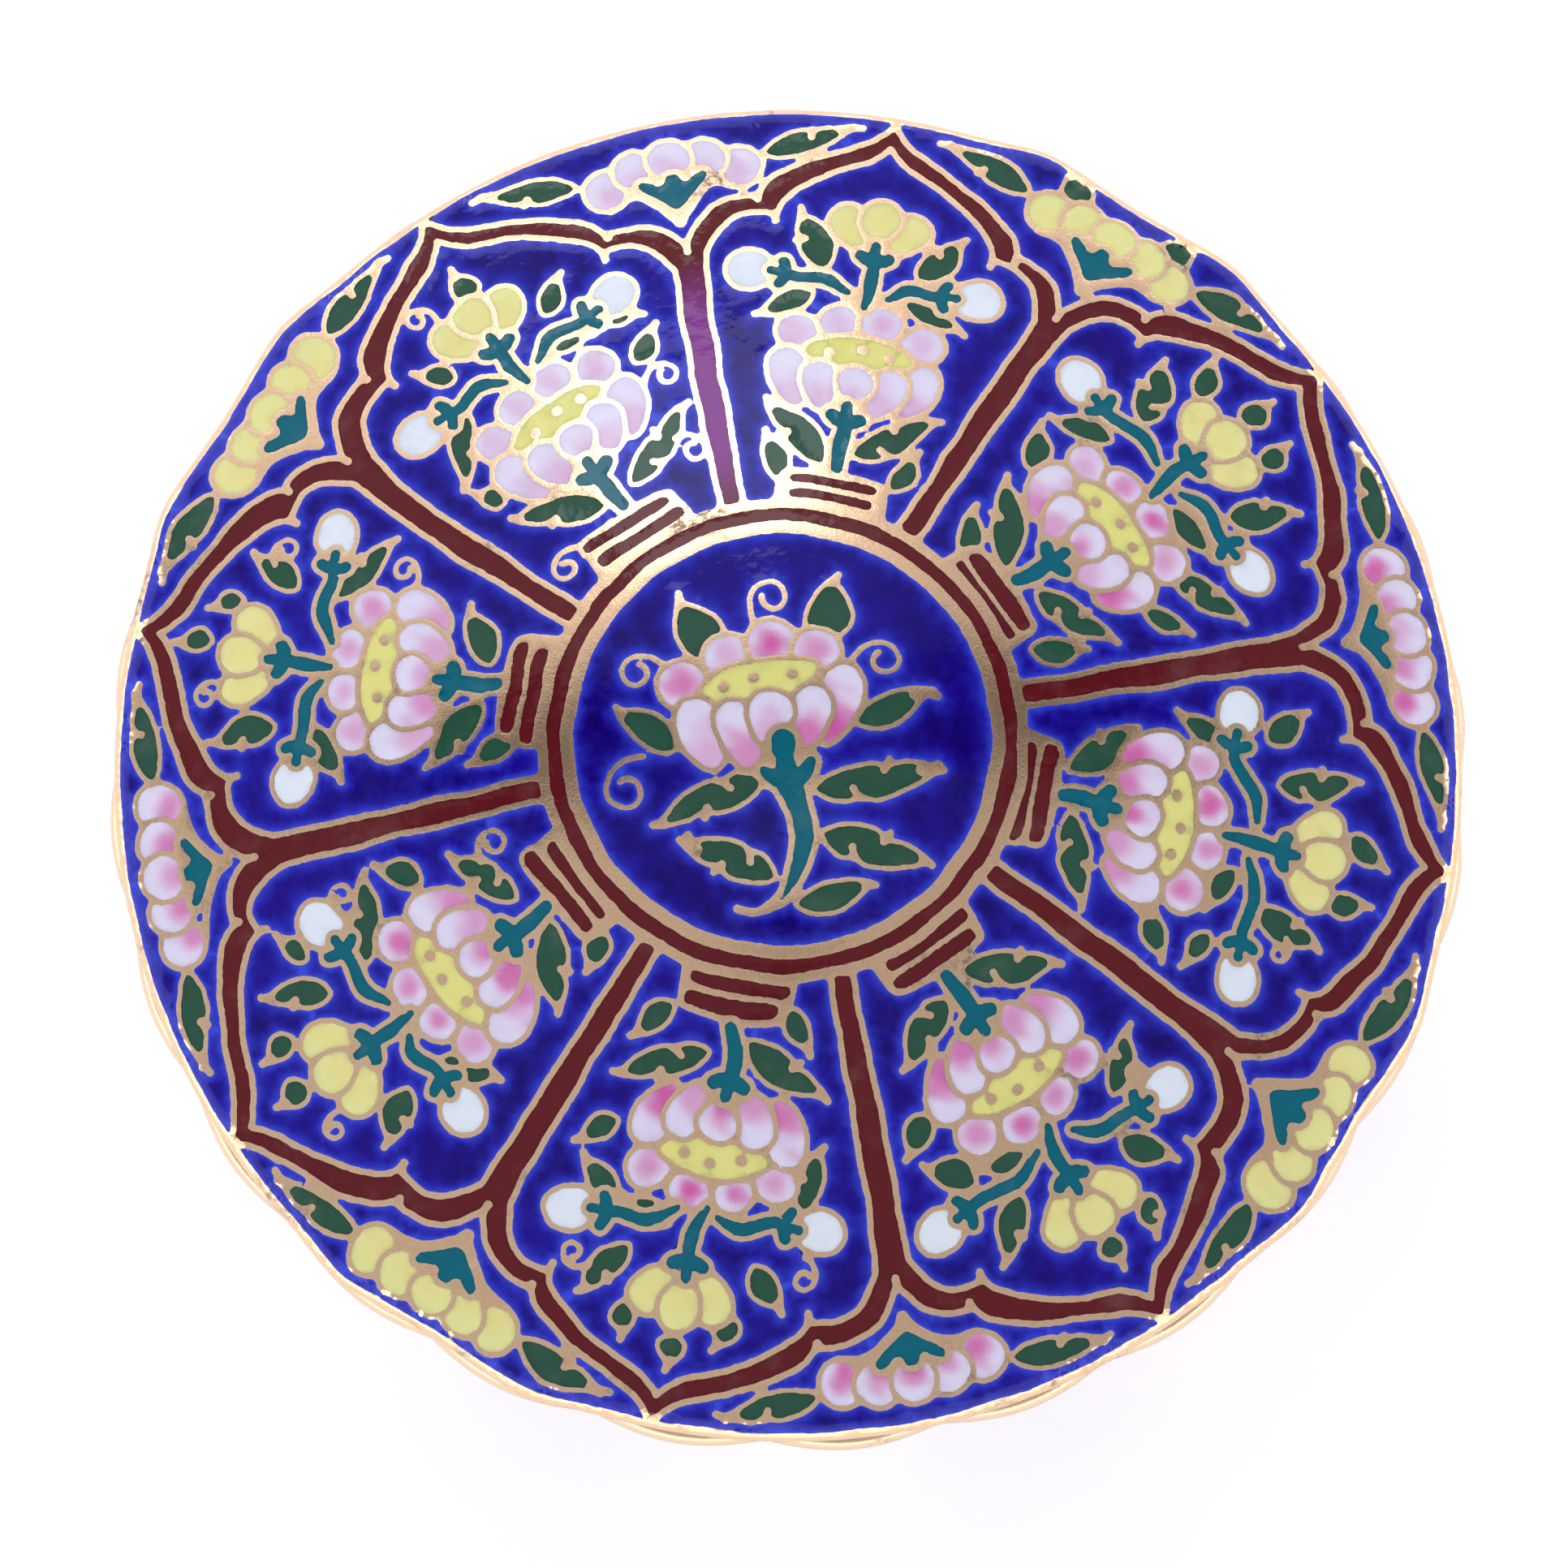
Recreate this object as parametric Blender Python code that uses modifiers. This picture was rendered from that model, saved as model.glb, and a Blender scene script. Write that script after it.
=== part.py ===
"""Round porcelain box with a domed lid. Both rims are gently scalloped.

Metres, +Z up. The box stands on its foot ring at z = 0, centred on the Z axis.
"""
import math

import bpy
import numpy as np

# Base
BASE_RADIUS = 0.0526         # to the tips of the rim's lobes
BASE_HEIGHT = 0.0380         # from the table to the rim's top
BASE_WALL = 0.0030
RIM_FLARE = 0.0030           # how far the rim stands out past the wall below it
FLARE_POWER = 5.0            # how late the wall turns out towards the rim
RIM_EDGE = 0.0020            # height of the rounded rim
LOBES = 24
LOBE_DEPTH = 0.0009          # from the tip of a lobe to the cusp between two
MOUTH_DEPTH = 0.0060         # straight stretch inside the mouth
FLOOR_WALL = 0.0032
FOOT_RADIUS = 0.0275
FOOT_WIDTH = 0.0030
FOOT_HEIGHT = 0.0036
FOOT_RECESS = 0.0026         # hollow of the underside inside the foot ring
FOOT_TAPER = 0.0006

# Lid
LID_SETBACK = 0.0006         # the lid's edge lies this far inside the lobes' tips
DOME_RISE = 0.0146           # from the top of the edge to the crown
DOME_FLARE = 0.30            # 0 is a plain crown, 1 runs out flat at the edge
LID_WALL = 0.0030
LID_EDGE = 0.0022            # height of the rounded edge
FLANGE_DROP = 0.0040         # locating flange below the lid's seat
FLANGE_WALL = 0.0020
BRACKETS = 4                 # places where the lid's edge dips between two swells
NOTCH_DEPTH = 0.00027
SWELL_HEIGHT = 0.00055
SWELL_PLACE = math.radians(9.4)
SWELL_WIDTH = math.radians(3.8)
WAVE_REACH = 0.0050          # how far the lid's waves run in from its edge

# Fit and shared values
LID_CLEARANCE = 0.0008       # between the flange and the mouth, all round
SEAT_GAP = 0.0003            # between the lid's seat and the rim
BRACKET_TURN = math.radians(58.0)
EDGE_BITE = 0.42             # how far an edge is rounded, as a share of its height
TURN_STEPS = 144
DOME_RINGS = 7
BOWL_RINGS = 6
INSIDE_RINGS = 4
MERGE_DISTANCE = 0.00001

BODY_RADIUS = BASE_RADIUS - RIM_FLARE
MOUTH_RADIUS = BODY_RADIUS - BASE_WALL
LID_RADIUS = BASE_RADIUS - LID_SETBACK
FLANGE_RADIUS = MOUTH_RADIUS - LID_CLEARANCE
FLOOR_LEVEL = FOOT_RECESS + FLOOR_WALL


def clear_scene():
    for old in list(bpy.data.objects):
        bpy.data.objects.remove(old, do_unlink=True)


def enamel(name, colour, roughness):
    """A glossy glaze over porcelain."""
    material = bpy.data.materials.new(name)
    material.use_nodes = True
    shader = material.node_tree.nodes["Principled BSDF"]
    shader.inputs["Base Color"].default_value = (*colour, 1.0)
    shader.inputs["Roughness"].default_value = roughness
    shader.inputs["Metallic"].default_value = 0.0
    return material


def turned(name, profile, material, collection):
    """Turn a profile of (radius, height) pairs round Z into one closed mesh."""
    outline = bpy.data.meshes.new(name + "_profile")
    edges = [(i, i + 1) for i in range(len(profile) - 1)]
    outline.from_pydata([(r, 0.0, z) for r, z in profile], edges, [])
    guide = bpy.data.objects.new(name + "_profile", outline)
    collection.objects.link(guide)

    screw = guide.modifiers.new("turn", "SCREW")
    screw.steps = TURN_STEPS
    screw.render_steps = TURN_STEPS
    screw.use_merge_vertices = True
    screw.merge_threshold = MERGE_DISTANCE
    screw.use_smooth_shade = True

    evaluated = guide.evaluated_get(bpy.context.evaluated_depsgraph_get())
    mesh = bpy.data.meshes.new_from_object(evaluated)
    bpy.data.objects.remove(guide)
    mesh.name = name
    mesh.materials.clear()
    mesh.materials.append(material)
    piece = bpy.data.objects.new(name, mesh)
    collection.objects.link(piece)
    return piece


def scallop(piece, inner, outer, wave):
    """Push the rim in and out by wave(angle), fading to nothing at the inner radius."""
    mesh = piece.data
    points = np.empty(len(mesh.vertices) * 3)
    mesh.vertices.foreach_get("co", points)
    points = points.reshape(-1, 3)
    radius = np.hypot(points[:, 0], points[:, 1])
    angle = np.arctan2(points[:, 1], points[:, 0])
    reach = np.clip((radius - inner) / (outer - inner), 0.0, 1.0)
    fade = reach * reach * (3.0 - 2.0 * reach)
    grow = 1.0 + fade * wave(angle) / np.maximum(radius, MERGE_DISTANCE)
    points[:, :2] *= grow[:, None]
    mesh.vertices.foreach_set("co", points.ravel())
    mesh.update()
    piece.rotation_euler.z = BRACKET_TURN
    mesh.shade_smooth()
    mesh.set_sharp_from_angle(angle=math.radians(35.0))


def lid_wave(angle):
    """A dip with a swell on each side of it, repeated at every bracket of the lid."""
    period = 2.0 * math.pi / BRACKETS
    place = (angle + period / 2.0) % period - period / 2.0
    dip = np.exp(-((place / SWELL_WIDTH) ** 2))
    swells = sum(np.exp(-(((place - side * SWELL_PLACE) / SWELL_WIDTH) ** 2)) for side in (-1, 1))
    return SWELL_HEIGHT * swells - NOTCH_DEPTH * dip


def base_wave(angle):
    """Round lobes that meet in cusps, as deep as LOBE_DEPTH below the lobes' tips."""
    return -LOBE_DEPTH * (1.0 - np.abs(np.sin(LOBES / 2 * angle)))


def dome(radius):
    """Height of the lid's outside above its edge: a crown blended with a half cosine."""
    share = radius / LID_RADIUS
    crown = 1.0 - share * share
    flared = (1.0 + math.cos(math.pi * share)) / 2.0
    return DOME_RISE * ((1.0 - DOME_FLARE) * crown + DOME_FLARE * flared)


def lid_profile():
    """From the crown down the outside, under the seat, round the flange and up inside."""
    seat = BASE_HEIGHT + SEAT_GAP
    edge_top = seat + LID_EDGE
    bite = EDGE_BITE * LID_EDGE
    rim = LID_RADIUS - bite
    outside = [(rim * k / DOME_RINGS, edge_top + dome(rim * k / DOME_RINGS)) for k in range(DOME_RINGS)]
    edge = [
        (rim, edge_top + dome(rim)),
        (LID_RADIUS, seat + LID_EDGE / 2),
        (rim, seat),
    ]
    inner_radius = FLANGE_RADIUS - FLANGE_WALL
    flange = [
        (FLANGE_RADIUS, seat),
        (FLANGE_RADIUS, seat - FLANGE_DROP),
        (inner_radius, seat - FLANGE_DROP),
    ]
    inside = [
        (inner_radius * k / INSIDE_RINGS, edge_top + dome(inner_radius * k / INSIDE_RINGS) - LID_WALL)
        for k in range(INSIDE_RINGS, -1, -1)
    ]
    return outside + edge + flange + inside


def bowl(start, end, low, high, share):
    """A quarter ellipse from the flat bottom to the upright wall, at a share of its arc."""
    turn = share * math.pi / 2
    return start + (end - start) * math.sin(turn), low + (high - low) * (1.0 - math.cos(turn))


def base_profile():
    """From the floor up the inside, over the rim, down the outside and under the foot."""
    mouth_foot = BASE_HEIGHT - MOUTH_DEPTH
    floor_radius = FOOT_RADIUS - BASE_WALL
    floor = [(0.0, FLOOR_LEVEL)]
    inside = [
        bowl(floor_radius, MOUTH_RADIUS, FLOOR_LEVEL, mouth_foot, k / INSIDE_RINGS)
        for k in range(INSIDE_RINGS + 1)
    ]
    bite = EDGE_BITE * RIM_EDGE
    under_rim = BASE_HEIGHT - RIM_EDGE
    rim = [
        (MOUTH_RADIUS, BASE_HEIGHT),
        (BASE_RADIUS - bite, BASE_HEIGHT),
        (BASE_RADIUS, BASE_HEIGHT - RIM_EDGE / 2),
    ]
    outside = []
    for k in range(BOWL_RINGS, -1, -1):
        radius, height = bowl(FOOT_RADIUS, BODY_RADIUS, FOOT_HEIGHT, under_rim, k / BOWL_RINGS)
        rise = (height - FOOT_HEIGHT) / (under_rim - FOOT_HEIGHT)
        outside.append((radius + (BASE_RADIUS - bite - BODY_RADIUS) * rise ** FLARE_POWER, height))
    foot = [
        (FOOT_RADIUS - FOOT_TAPER, 0.0),
        (FOOT_RADIUS - FOOT_WIDTH, 0.0),
        (FOOT_RADIUS - FOOT_WIDTH - FOOT_TAPER, FOOT_RECESS),
        (0.0, FOOT_RECESS),
    ]
    return floor + inside + rim + outside + foot


clear_scene()
box_parts = bpy.data.collections.new("porcelain_box")
bpy.context.scene.collection.children.link(box_parts)

lid = turned("lid", lid_profile(), enamel("lid_enamel", (0.025, 0.015, 0.30), 0.10), box_parts)
scallop(lid, LID_RADIUS - WAVE_REACH, LID_RADIUS, lid_wave)

base = turned("base", base_profile(), enamel("base_enamel", (0.03, 0.02, 0.33), 0.12), box_parts)
scallop(base, BODY_RADIUS, BASE_RADIUS, base_wave)
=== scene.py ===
import math

import bpy
import numpy as np
from mathutils import Matrix, Vector
from mathutils.geometry import delaunay_2d_cdt


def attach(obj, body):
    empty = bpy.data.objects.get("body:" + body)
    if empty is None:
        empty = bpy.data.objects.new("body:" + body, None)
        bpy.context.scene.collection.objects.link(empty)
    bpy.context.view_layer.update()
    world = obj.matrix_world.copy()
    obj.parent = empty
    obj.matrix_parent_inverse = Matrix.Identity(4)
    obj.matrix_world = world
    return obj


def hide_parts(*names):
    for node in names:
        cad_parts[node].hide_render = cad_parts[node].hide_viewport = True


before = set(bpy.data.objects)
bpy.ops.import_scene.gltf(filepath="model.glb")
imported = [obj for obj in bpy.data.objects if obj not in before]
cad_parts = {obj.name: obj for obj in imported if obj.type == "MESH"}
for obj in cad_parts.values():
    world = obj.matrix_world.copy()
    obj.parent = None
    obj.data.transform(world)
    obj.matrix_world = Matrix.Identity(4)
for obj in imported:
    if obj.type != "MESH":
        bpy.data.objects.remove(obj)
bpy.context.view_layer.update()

# The painted decoration of both pieces: raised gold lines trailed by hand over the white body, and
# coloured glazes laid in the fields between them, then fired. It is drawn on a ground: the surface of a
# piece laid out flat, in millimetres, with +Y to the back of the box.

CELL = 0.1          # a cell of the ground
REACH = 53.5        # from the middle of a ground to its sides
FILM = 2.0          # how far from the gold a glaze still changes its depth of colour
PIECE = 0.22        # a line is cut into pieces of this length
LINE = 0.48         # width of a gold line
RUN = 0.40          # how close two wet gold lines have to lie to run together

# The enamels, by number
COBALT, MAROON, GREEN, TEAL, WHITE, PETAL, YELLOW, HEART = range(8)


def tremor(x, y, length, seed):
    """An unsteady value of about -1 to 1 over the plane: the sum of nine sine waves, of about the given
    length, whose directions, lengths and starts are drawn from the seed."""
    dice = np.random.default_rng(seed)
    total = np.zeros(np.broadcast(x, y).shape, np.float32)
    for turn, start, stretch in dice.uniform(0.0, 1.0, (9, 3)):
        pace = 2.0 * math.pi / (length * (0.6 + stretch))
        turn = 2.0 * math.pi * turn
        total += np.sin(pace * (x * math.cos(turn) + y * math.sin(turn)) + 2.0 * math.pi * start)
    return total / 3.0


def smooth(points, closed=False):
    """A Catmull-Rom curve: between two points it is the cubic whose slope at each of them is half the way
    from the point before to the point after."""
    points = np.asarray(points, float)
    if closed:
        ring = np.concatenate([points[-1:], points, points[:2]])
    else:
        ring = np.concatenate([2 * points[:1] - points[1:2], points, 2 * points[-1:] - points[-2:-1]])
    a, b, c, d = (ring[k:len(ring) - 3 + k, None] for k in range(4))
    u = np.linspace(0.0, 1.0, 12, endpoint=False)[None, :, None]
    curve = b + 0.5 * u * (c - a + u * (2 * a - 5 * b + 4 * c - d + u * (3 * b - a - 3 * c + d)))
    curve = curve.reshape(-1, 2)
    return curve if closed else np.concatenate([curve, points[-1:]])


def trail(path, closed=False):
    """The path as a hand trails it: cut into equal pieces, and off by the slow and the quick tremor of
    the hand. A closed one ends on its first point."""
    if closed:
        path = np.concatenate([path, path[:1]])
    along = np.concatenate([[0.0], np.cumsum(np.hypot(*np.diff(path, axis=0).T))])
    where = np.linspace(0.0, along[-1], max(int(along[-1] / PIECE), 3) + 1)
    x, y = (np.interp(where, along, path[:, k]) for k in (0, 1))
    shake = [0.075 * tremor(x, y, 4.5, seed) + 0.020 * tremor(x, y, 1.6, seed + 2) for seed in (11, 12)]
    return np.stack([x + shake[0], y + shake[1]], axis=-1)


def run_together(one, other):
    """The lesser of two distances to gold, less still where both are small, so that lines which meet have
    a filled corner: the difference from RUN, squared, over four times RUN."""
    least = np.minimum(one, other)
    fill = np.maximum(RUN - np.abs(one - other), 0.0) ** 2 / (4.0 * RUN)
    return least - fill * np.clip(1.0 - 2.0 * least, 0.0, 1.0)


class Ground:
    """For each cell of a square of the plane: the distance to the edge of the gold, negative in the gold,
    the enamel that lies on top, and how pink its blush is."""

    def __init__(self, reach, enamel):
        count = int(round(reach / CELL)) * 2 + 1
        self.reach = reach
        self.side = (np.arange(count) * CELL - reach).astype(np.float32)
        self.gold = np.full((count, count), FILM, np.float32)
        self.enamel = np.full((count, count), enamel, np.uint8)
        self.blush = np.zeros((count, count), np.float32)

    def spread(self, strokes):
        """The first row and column of a window of cells, and each cell's distance to the nearest of the
        strokes, which are (path, radius) pairs. Each piece of a path is set against the square of cells
        round it, and a cell keeps the least distance it is given."""
        points = np.concatenate([path for path, radius in strokes])
        low = np.floor((points.min(axis=0) + self.reach - FILM) / CELL).astype(int)
        high = np.ceil((points.max(axis=0) + self.reach + FILM) / CELL).astype(int) + 1
        low, high = np.maximum(low, 0), np.minimum(high, len(self.side))
        wide, tall = high - low
        nearest = np.full(tall * wide, FILM)
        near = int(math.ceil((FILM + PIECE) / CELL))
        square = np.arange(-near, near + 1)
        for path, radius in strokes:
            radius = np.broadcast_to(radius, len(path))
            start, step = path[:-1], np.diff(path, axis=0)
            middle = np.rint((start + step / 2 + self.reach) / CELL).astype(int)
            column = np.clip(middle[:, :1] + square, low[0], high[0] - 1)
            row = np.clip(middle[:, 1:] + square, low[1], high[1] - 1)
            x = self.side[column][:, None, :] - start[:, 0, None, None]
            y = self.side[row][:, :, None] - start[:, 1, None, None]
            along_x, along_y = step[:, 0, None, None], step[:, 1, None, None]
            square_length = np.maximum(along_x ** 2 + along_y ** 2, 1e-9)
            share = np.clip((x * along_x + y * along_y) / square_length, 0.0, 1.0)
            thick = radius[:-1, None, None] + share * np.diff(radius)[:, None, None]
            away = np.hypot(x - share * along_x, y - share * along_y) - thick
            place = (row - low[1])[:, :, None] * wide + (column - low[0])[:, None, :]
            np.minimum.at(nearest, place.ravel(), away.ravel())
        return low, nearest.reshape(tall, wide)

    def within(self, path, low, shape):
        """Which cells lie inside a closed path: along a row, each crossing of the path turns outside into
        inside or back."""
        x, y = path[:-1].T
        step_x, step_y = np.diff(path, axis=0).T
        ends = np.stack([np.minimum(y, y + step_y), np.maximum(y, y + step_y)])
        ends = np.ceil((ends + self.reach) / CELL)
        first, count = ends[0].astype(int), (ends[1] - ends[0]).astype(int)
        piece = np.repeat(np.arange(len(first)), count)
        row = np.arange(len(piece)) - np.repeat(np.cumsum(count) - count, count) + first[piece]
        share = (row * CELL - self.reach - y[piece]) / step_y[piece]
        column = np.ceil((x[piece] + share * step_x[piece] + self.reach) / CELL).astype(int)
        crossings = np.zeros(shape, int)
        np.add.at(crossings, (row - low[1], column - low[0]), 1)
        return np.cumsum(crossings, axis=1) % 2 == 1

    def window(self, low, depth):
        """The rows and the columns of the cells that the depths are for."""
        return slice(low[1], low[1] + depth.shape[0]), slice(low[0], low[0] + depth.shape[1])

    def lay(self, low, depth, enamel, line, blush=None):
        """Lay enamel where depth is negative, with a gold line outside it. Inside, only this field's own
        edge counts from now on. Outside, its line runs together with the gold already there. A blush is a
        spot that fades by e to the minus cube of the share of its radius."""
        window = self.window(low, depth)
        band = np.maximum(-depth, depth - line)
        self.gold[window] = np.where(depth < 0.0, band, run_together(self.gold[window], band))
        covered = depth < line / 2
        self.enamel[window][covered] = enamel
        self.blush[window][covered] = 0.0
        if blush:
            x, y, radius, strength = blush
            cell_x, cell_y = self.side[window[1]][None, :], self.side[window[0]][:, None]
            far = np.hypot(cell_x - x, cell_y - y) * (1.0 + 0.25 * tremor(cell_x, cell_y, 2.6, 21))
            soft = strength * np.exp(-(far / radius) ** 3)
            self.blush[window][covered] = soft[covered]

    def field(self, outline, enamel, line=LINE, blush=None, inset=0.0):
        """A field of enamel inside a closed outline, with a gold line round it. The enamel ends at the
        outline, or as far inside it as the inset."""
        path = trail(outline, closed=True)
        low, depth = self.spread([(path, 0.0)])
        depth[self.within(path, low, depth.shape)] *= -1.0
        self.lay(low, depth + inset, enamel, line, blush)

    def tubes(self, strokes, enamel, line=LINE):
        """A field of enamel as wide as the strokes, such as a stem, with a gold line round it."""
        low, depth = self.spread([even_radius(path, radius) for path, radius in strokes])
        self.lay(low, depth, enamel, line)

    def trace(self, path, radius):
        """A line of gold alone, of the given half width."""
        low, depth = self.spread([even_radius(path, radius)])
        window = self.window(low, depth)
        self.gold[window] = run_together(self.gold[window], depth)

    def flood(self):
        """Gold runs over the gaps between lines that are too narrow to take a glaze: where no cell within
        0.3 is as far as 0.11 from the gold, and less and less up to 0.15."""
        widest = self.gold.copy()
        for axis in (0, 1):
            widest = np.max([np.roll(widest, shift, axis) for shift in range(-3, 4)], axis=0)
        self.gold -= 0.30 * np.clip((0.15 - widest) / 0.04, 0.0, 1.0)

    def gild(self, outer, seed, inner=0.0):
        """Gold is brushed on outside the outer circle, with an unsteady edge, and inside the inner one.
        Then the whole drawing gets the grain of lines that dried in air, and the narrow gaps are
        filled."""
        x, y = self.side[None, :], self.side[:, None]
        away = np.hypot(x, y)
        bands = [outer + 0.10 * tremor(x, y, 9.0, seed) - away]
        if inner:
            bands.append(away - inner)
        for band in bands:
            self.gold = run_together(self.gold, band)
        self.gold += 0.018 * tremor(x, y, 0.9, seed + 1)
        self.flood()

    def read(self, values, points):
        """The value of the cell that each point lies in."""
        column, row = np.clip(np.rint((points + self.reach) / CELL).astype(int), 0, len(self.side) - 1).T
        return values[row, column]


def even_radius(path, radius):
    """A trailed path, and its radius, or radii from its start to its end, at each of its points."""
    trailed = trail(path)
    radii = np.atleast_1d(np.asarray(radius, float))
    share, known = np.linspace(0.0, 1.0, len(trailed)), np.linspace(0.0, 1.0, len(radii))
    return trailed, np.interp(share, known, radii)


# The motifs that the painter repeats: leaves, petals, tendrils, stems with a calyx, and the lotus made of
# them, each a field of glaze inside a trailed gold line. Places are (across, outward) from the middle of
# the piece, round an axis that is turned clockwise from the back.

BLOB = 0.32         # half width of gold where the tool rests at the end of a line
REACHED = 0.993     # how much of the way to where it means to go a hand goes


def way_to(base, tip):
    """The way from one place to another, and the direction square to it, on its right."""
    along = tip - base
    return along, np.array([along[1], -along[0]]) / np.hypot(*along)


class Hand:
    """A painter's hand at work on a ground, round one axis."""

    def __init__(self, ground, turn, middle=(0.0, 0.0), line=0.40):
        self.ground = ground
        self.turn = math.radians(turn)
        self.middle = np.array(middle)
        self.line = line

    def put(self, points):
        """Places on the ground, from places round the axis."""
        across, outward = np.asarray(points, float).T
        sine, cosine = math.sin(self.turn), math.cos(self.turn)
        reached = np.stack([across * cosine + outward * sine, outward * cosine - across * sine], axis=-1)
        return reached * REACHED + self.middle

    def trace(self, points, radius=(0.25, 0.25, BLOB)):
        """A line of gold alone, along a smooth curve through the points."""
        self.ground.trace(self.put(smooth(points)), radius)

    def leaf(self, base, tip, width, bites=0, bend=0.10):
        """A pointed leaf, a little longer and wider than it is said to be, because its line takes up its
        edge. A share u of the way from base to tip, its width is the power 0.8 of the sine of pi times u
        to the power 0.85, and its rib is bent aside by the sine of pi u. A bite is a dip in one edge,
        with a finger of gold laid in it, and the gold runs on past the tip to a round end."""
        base, tip = np.array(base, float), np.array(tip, float)
        base, tip = base - 0.12 * (tip - base), tip + 0.16 * (tip - base)
        width += 0.45
        along, aside = way_to(base, tip)
        u = np.linspace(0.0, 1.0, 26)
        half = width / 2 * np.sin(math.pi * u ** 0.85) ** 0.8
        edges = {1: half.copy(), -1: half.copy()}
        places = ((-1, 0.64), (1, 0.36))[:bites]
        for side, where in places:
            edges[side] *= 1.0 - 0.35 * np.exp(-((u - where) / 0.09) ** 2)
        rib = base + u[:, None] * along + (bend * width * np.sin(math.pi * u))[:, None] * aside
        right = rib + edges[1][:, None] * aside
        left = rib - edges[-1][:, None] * aside
        self.ground.field(self.put(np.concatenate([right, left[-2:0:-1]])), GREEN, self.line * 0.90)
        for side, where in places:
            edge = base + where * along + side * aside * width * 0.48
            inner = base + (where - 0.05) * along + side * aside * width * 0.17
            self.trace([edge, (edge + inner) / 2, inner], (0.26, 0.24, 0.30))
        beyond = tip + along / np.hypot(*along) * 0.75 + aside * bend * width
        self.trace([tip, tip + (beyond - tip) * 0.4, beyond], (0.30, 0.33, 0.30))

    def petal(self, root, tip, width, enamel=PETAL, pink=0.0, fat=0.22, pink_at=0.22):
        """A rounded petal: for a turn w round its edge it is (1 - cos w) / 2 along and sin w across,
        fatter towards the tip by fat times -cos w. Its blush is dabbed on near the root."""
        root = np.array(root, float)
        along, aside = way_to(root, np.array(tip, float))
        turn = np.linspace(0.0, 2.0 * math.pi, 44, endpoint=False)
        across = width / 2 * np.sin(turn) * (1.0 - fat * np.cos(turn))
        outline = root + ((1.0 - np.cos(turn)) / 2)[:, None] * along + across[:, None] * aside
        dab = self.put([root + pink_at * along])[0]
        blush = (dab[0], dab[1], 0.36 * math.hypot(*along), pink) if pink else None
        self.ground.field(self.put(outline), enamel, self.line, blush)

    def curl(self, start, heading, side, size=1.0):
        """A tendril: along it its heading turns by 60 degrees times u, and 330 times u to the power
        1.8."""
        u = np.linspace(0.0, 1.0, 70)
        turn = np.radians(heading + side * (60.0 * u + 330.0 * u ** 1.8))
        step = 7.4 * size / len(u)
        path = np.stack([np.cumsum(np.sin(turn)), np.cumsum(np.cos(turn))], axis=-1) * step
        self.ground.trace(self.put(np.array(start) + path), (0.24, 0.20, 0.20, 0.24))

    def calyx(self, stem, heading, size=1.0, radii=(0.40, 0.52, 0.42)):
        """A teal stem that ends in three prongs, the middle one straight on."""
        end = np.array(stem[-1], float)
        turn = math.radians(heading)
        ahead = np.array([math.sin(turn), math.cos(turn)]) * size
        aside = np.array([ahead[1], -ahead[0]])
        strokes = [(smooth(stem), radii)]
        for side in (-1, 1):
            prong = [end, end + 0.60 * side * aside, end + 1.12 * side * aside + 0.26 * ahead]
            strokes.append((smooth(prong), (0.56 * size, 0.54 * size, 0.50 * size)))
        prong = [end - 0.1 * ahead, end + 0.6 * ahead, end + 1.15 * ahead]
        strokes.append((smooth(prong), (0.58 * size, 0.42 * size, 0.44 * size)))
        self.ground.tubes([(self.put(path), radius) for path, radius in strokes], TEAL, self.line)

    def lotus(self, upper, heart, lower, dots, pink):
        """A lotus from the side: petals behind, a yellow heart with gold dots, and petals in front."""
        for k, (root, tip, width) in enumerate(upper):
            self.petal(root, tip, width, pink=pink[k % 4], fat=0.10, pink_at=0.52)
        self.ground.field(self.put(smooth(heart, closed=True)), HEART, self.line)
        for k, (root, tip, width) in enumerate(lower):
            self.petal(root, tip, width, pink=pink[(k + 1) % 4])
        for across, outward in dots:
            start, end = (across - 0.05, outward), (across + 0.05, outward + 0.02)
            self.trace([start, (across, outward), end], 0.40)


# The lid's decoration, as it is seen from above, painted by hand in enamels and gold: a round medallion
# with a lotus, eight pointed petals framed in maroon, a spray in each, and small sprays in the border
# between the tips.

LID_EDGE_BLUE = 51.72                 # where the cobalt ends at the gold rim
PETALS = 8
TIP_TURNS = (9.4, 53.4, 99.3, 146.1, 191.7, 235.6, 281.9, 326.4)
FORK_TURNS = (-11.2, 31.1, 77.9, 123.9, 168.55, 213.5, 259.4, 304.2)
FORK_RADII = (40.85, 40.55, 41.05, 41.0, 41.45, 41.95, 42.25, 41.65)

# Each petal has a cusp on both sides of its tip, on the outer and on the inner line of its band. As
# (turn, radius): left outer, left inner, right outer, right inner.
LID_CUSPS = (
    ((-3.1, 44.5), (-1.3, 42.8), (24.2, 43.2), (22.1, 42.0)),
    ((38.6, 44.6), (39.9, 42.7), (71.0, 44.7), (69.1, 43.0)),
    ((86.3, 44.7), (87.8, 43.0), (116.0, 45.1), (114.8, 43.4)),
    ((132.8, 44.7), (133.9, 42.6), (161.7, 44.3), (159.8, 42.6)),
    ((177.2, 45.3), (178.1, 43.2), (205.8, 45.1), (204.9, 43.3)),
    ((221.4, 45.3), (223.1, 43.3), (253.4, 44.2), (251.7, 42.6)),
    ((266.5, 44.8), (268.1, 42.8), (298.5, 44.2), (295.8, 42.6)),
    ((312.5, 44.5), (313.9, 42.5), (341.1, 43.5), (340.0, 41.9)),
)
TIP_RADII = (51.2, 51.5, 51.7, 51.6, 51.7, 51.9, 51.6, 51.4)
BAND = 2.1                            # from the outer to the inner point of the maroon band at a tip
SPOKE_FOOT = 17.0                     # where the lines beside a spoke end, under the medallion's ring
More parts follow.
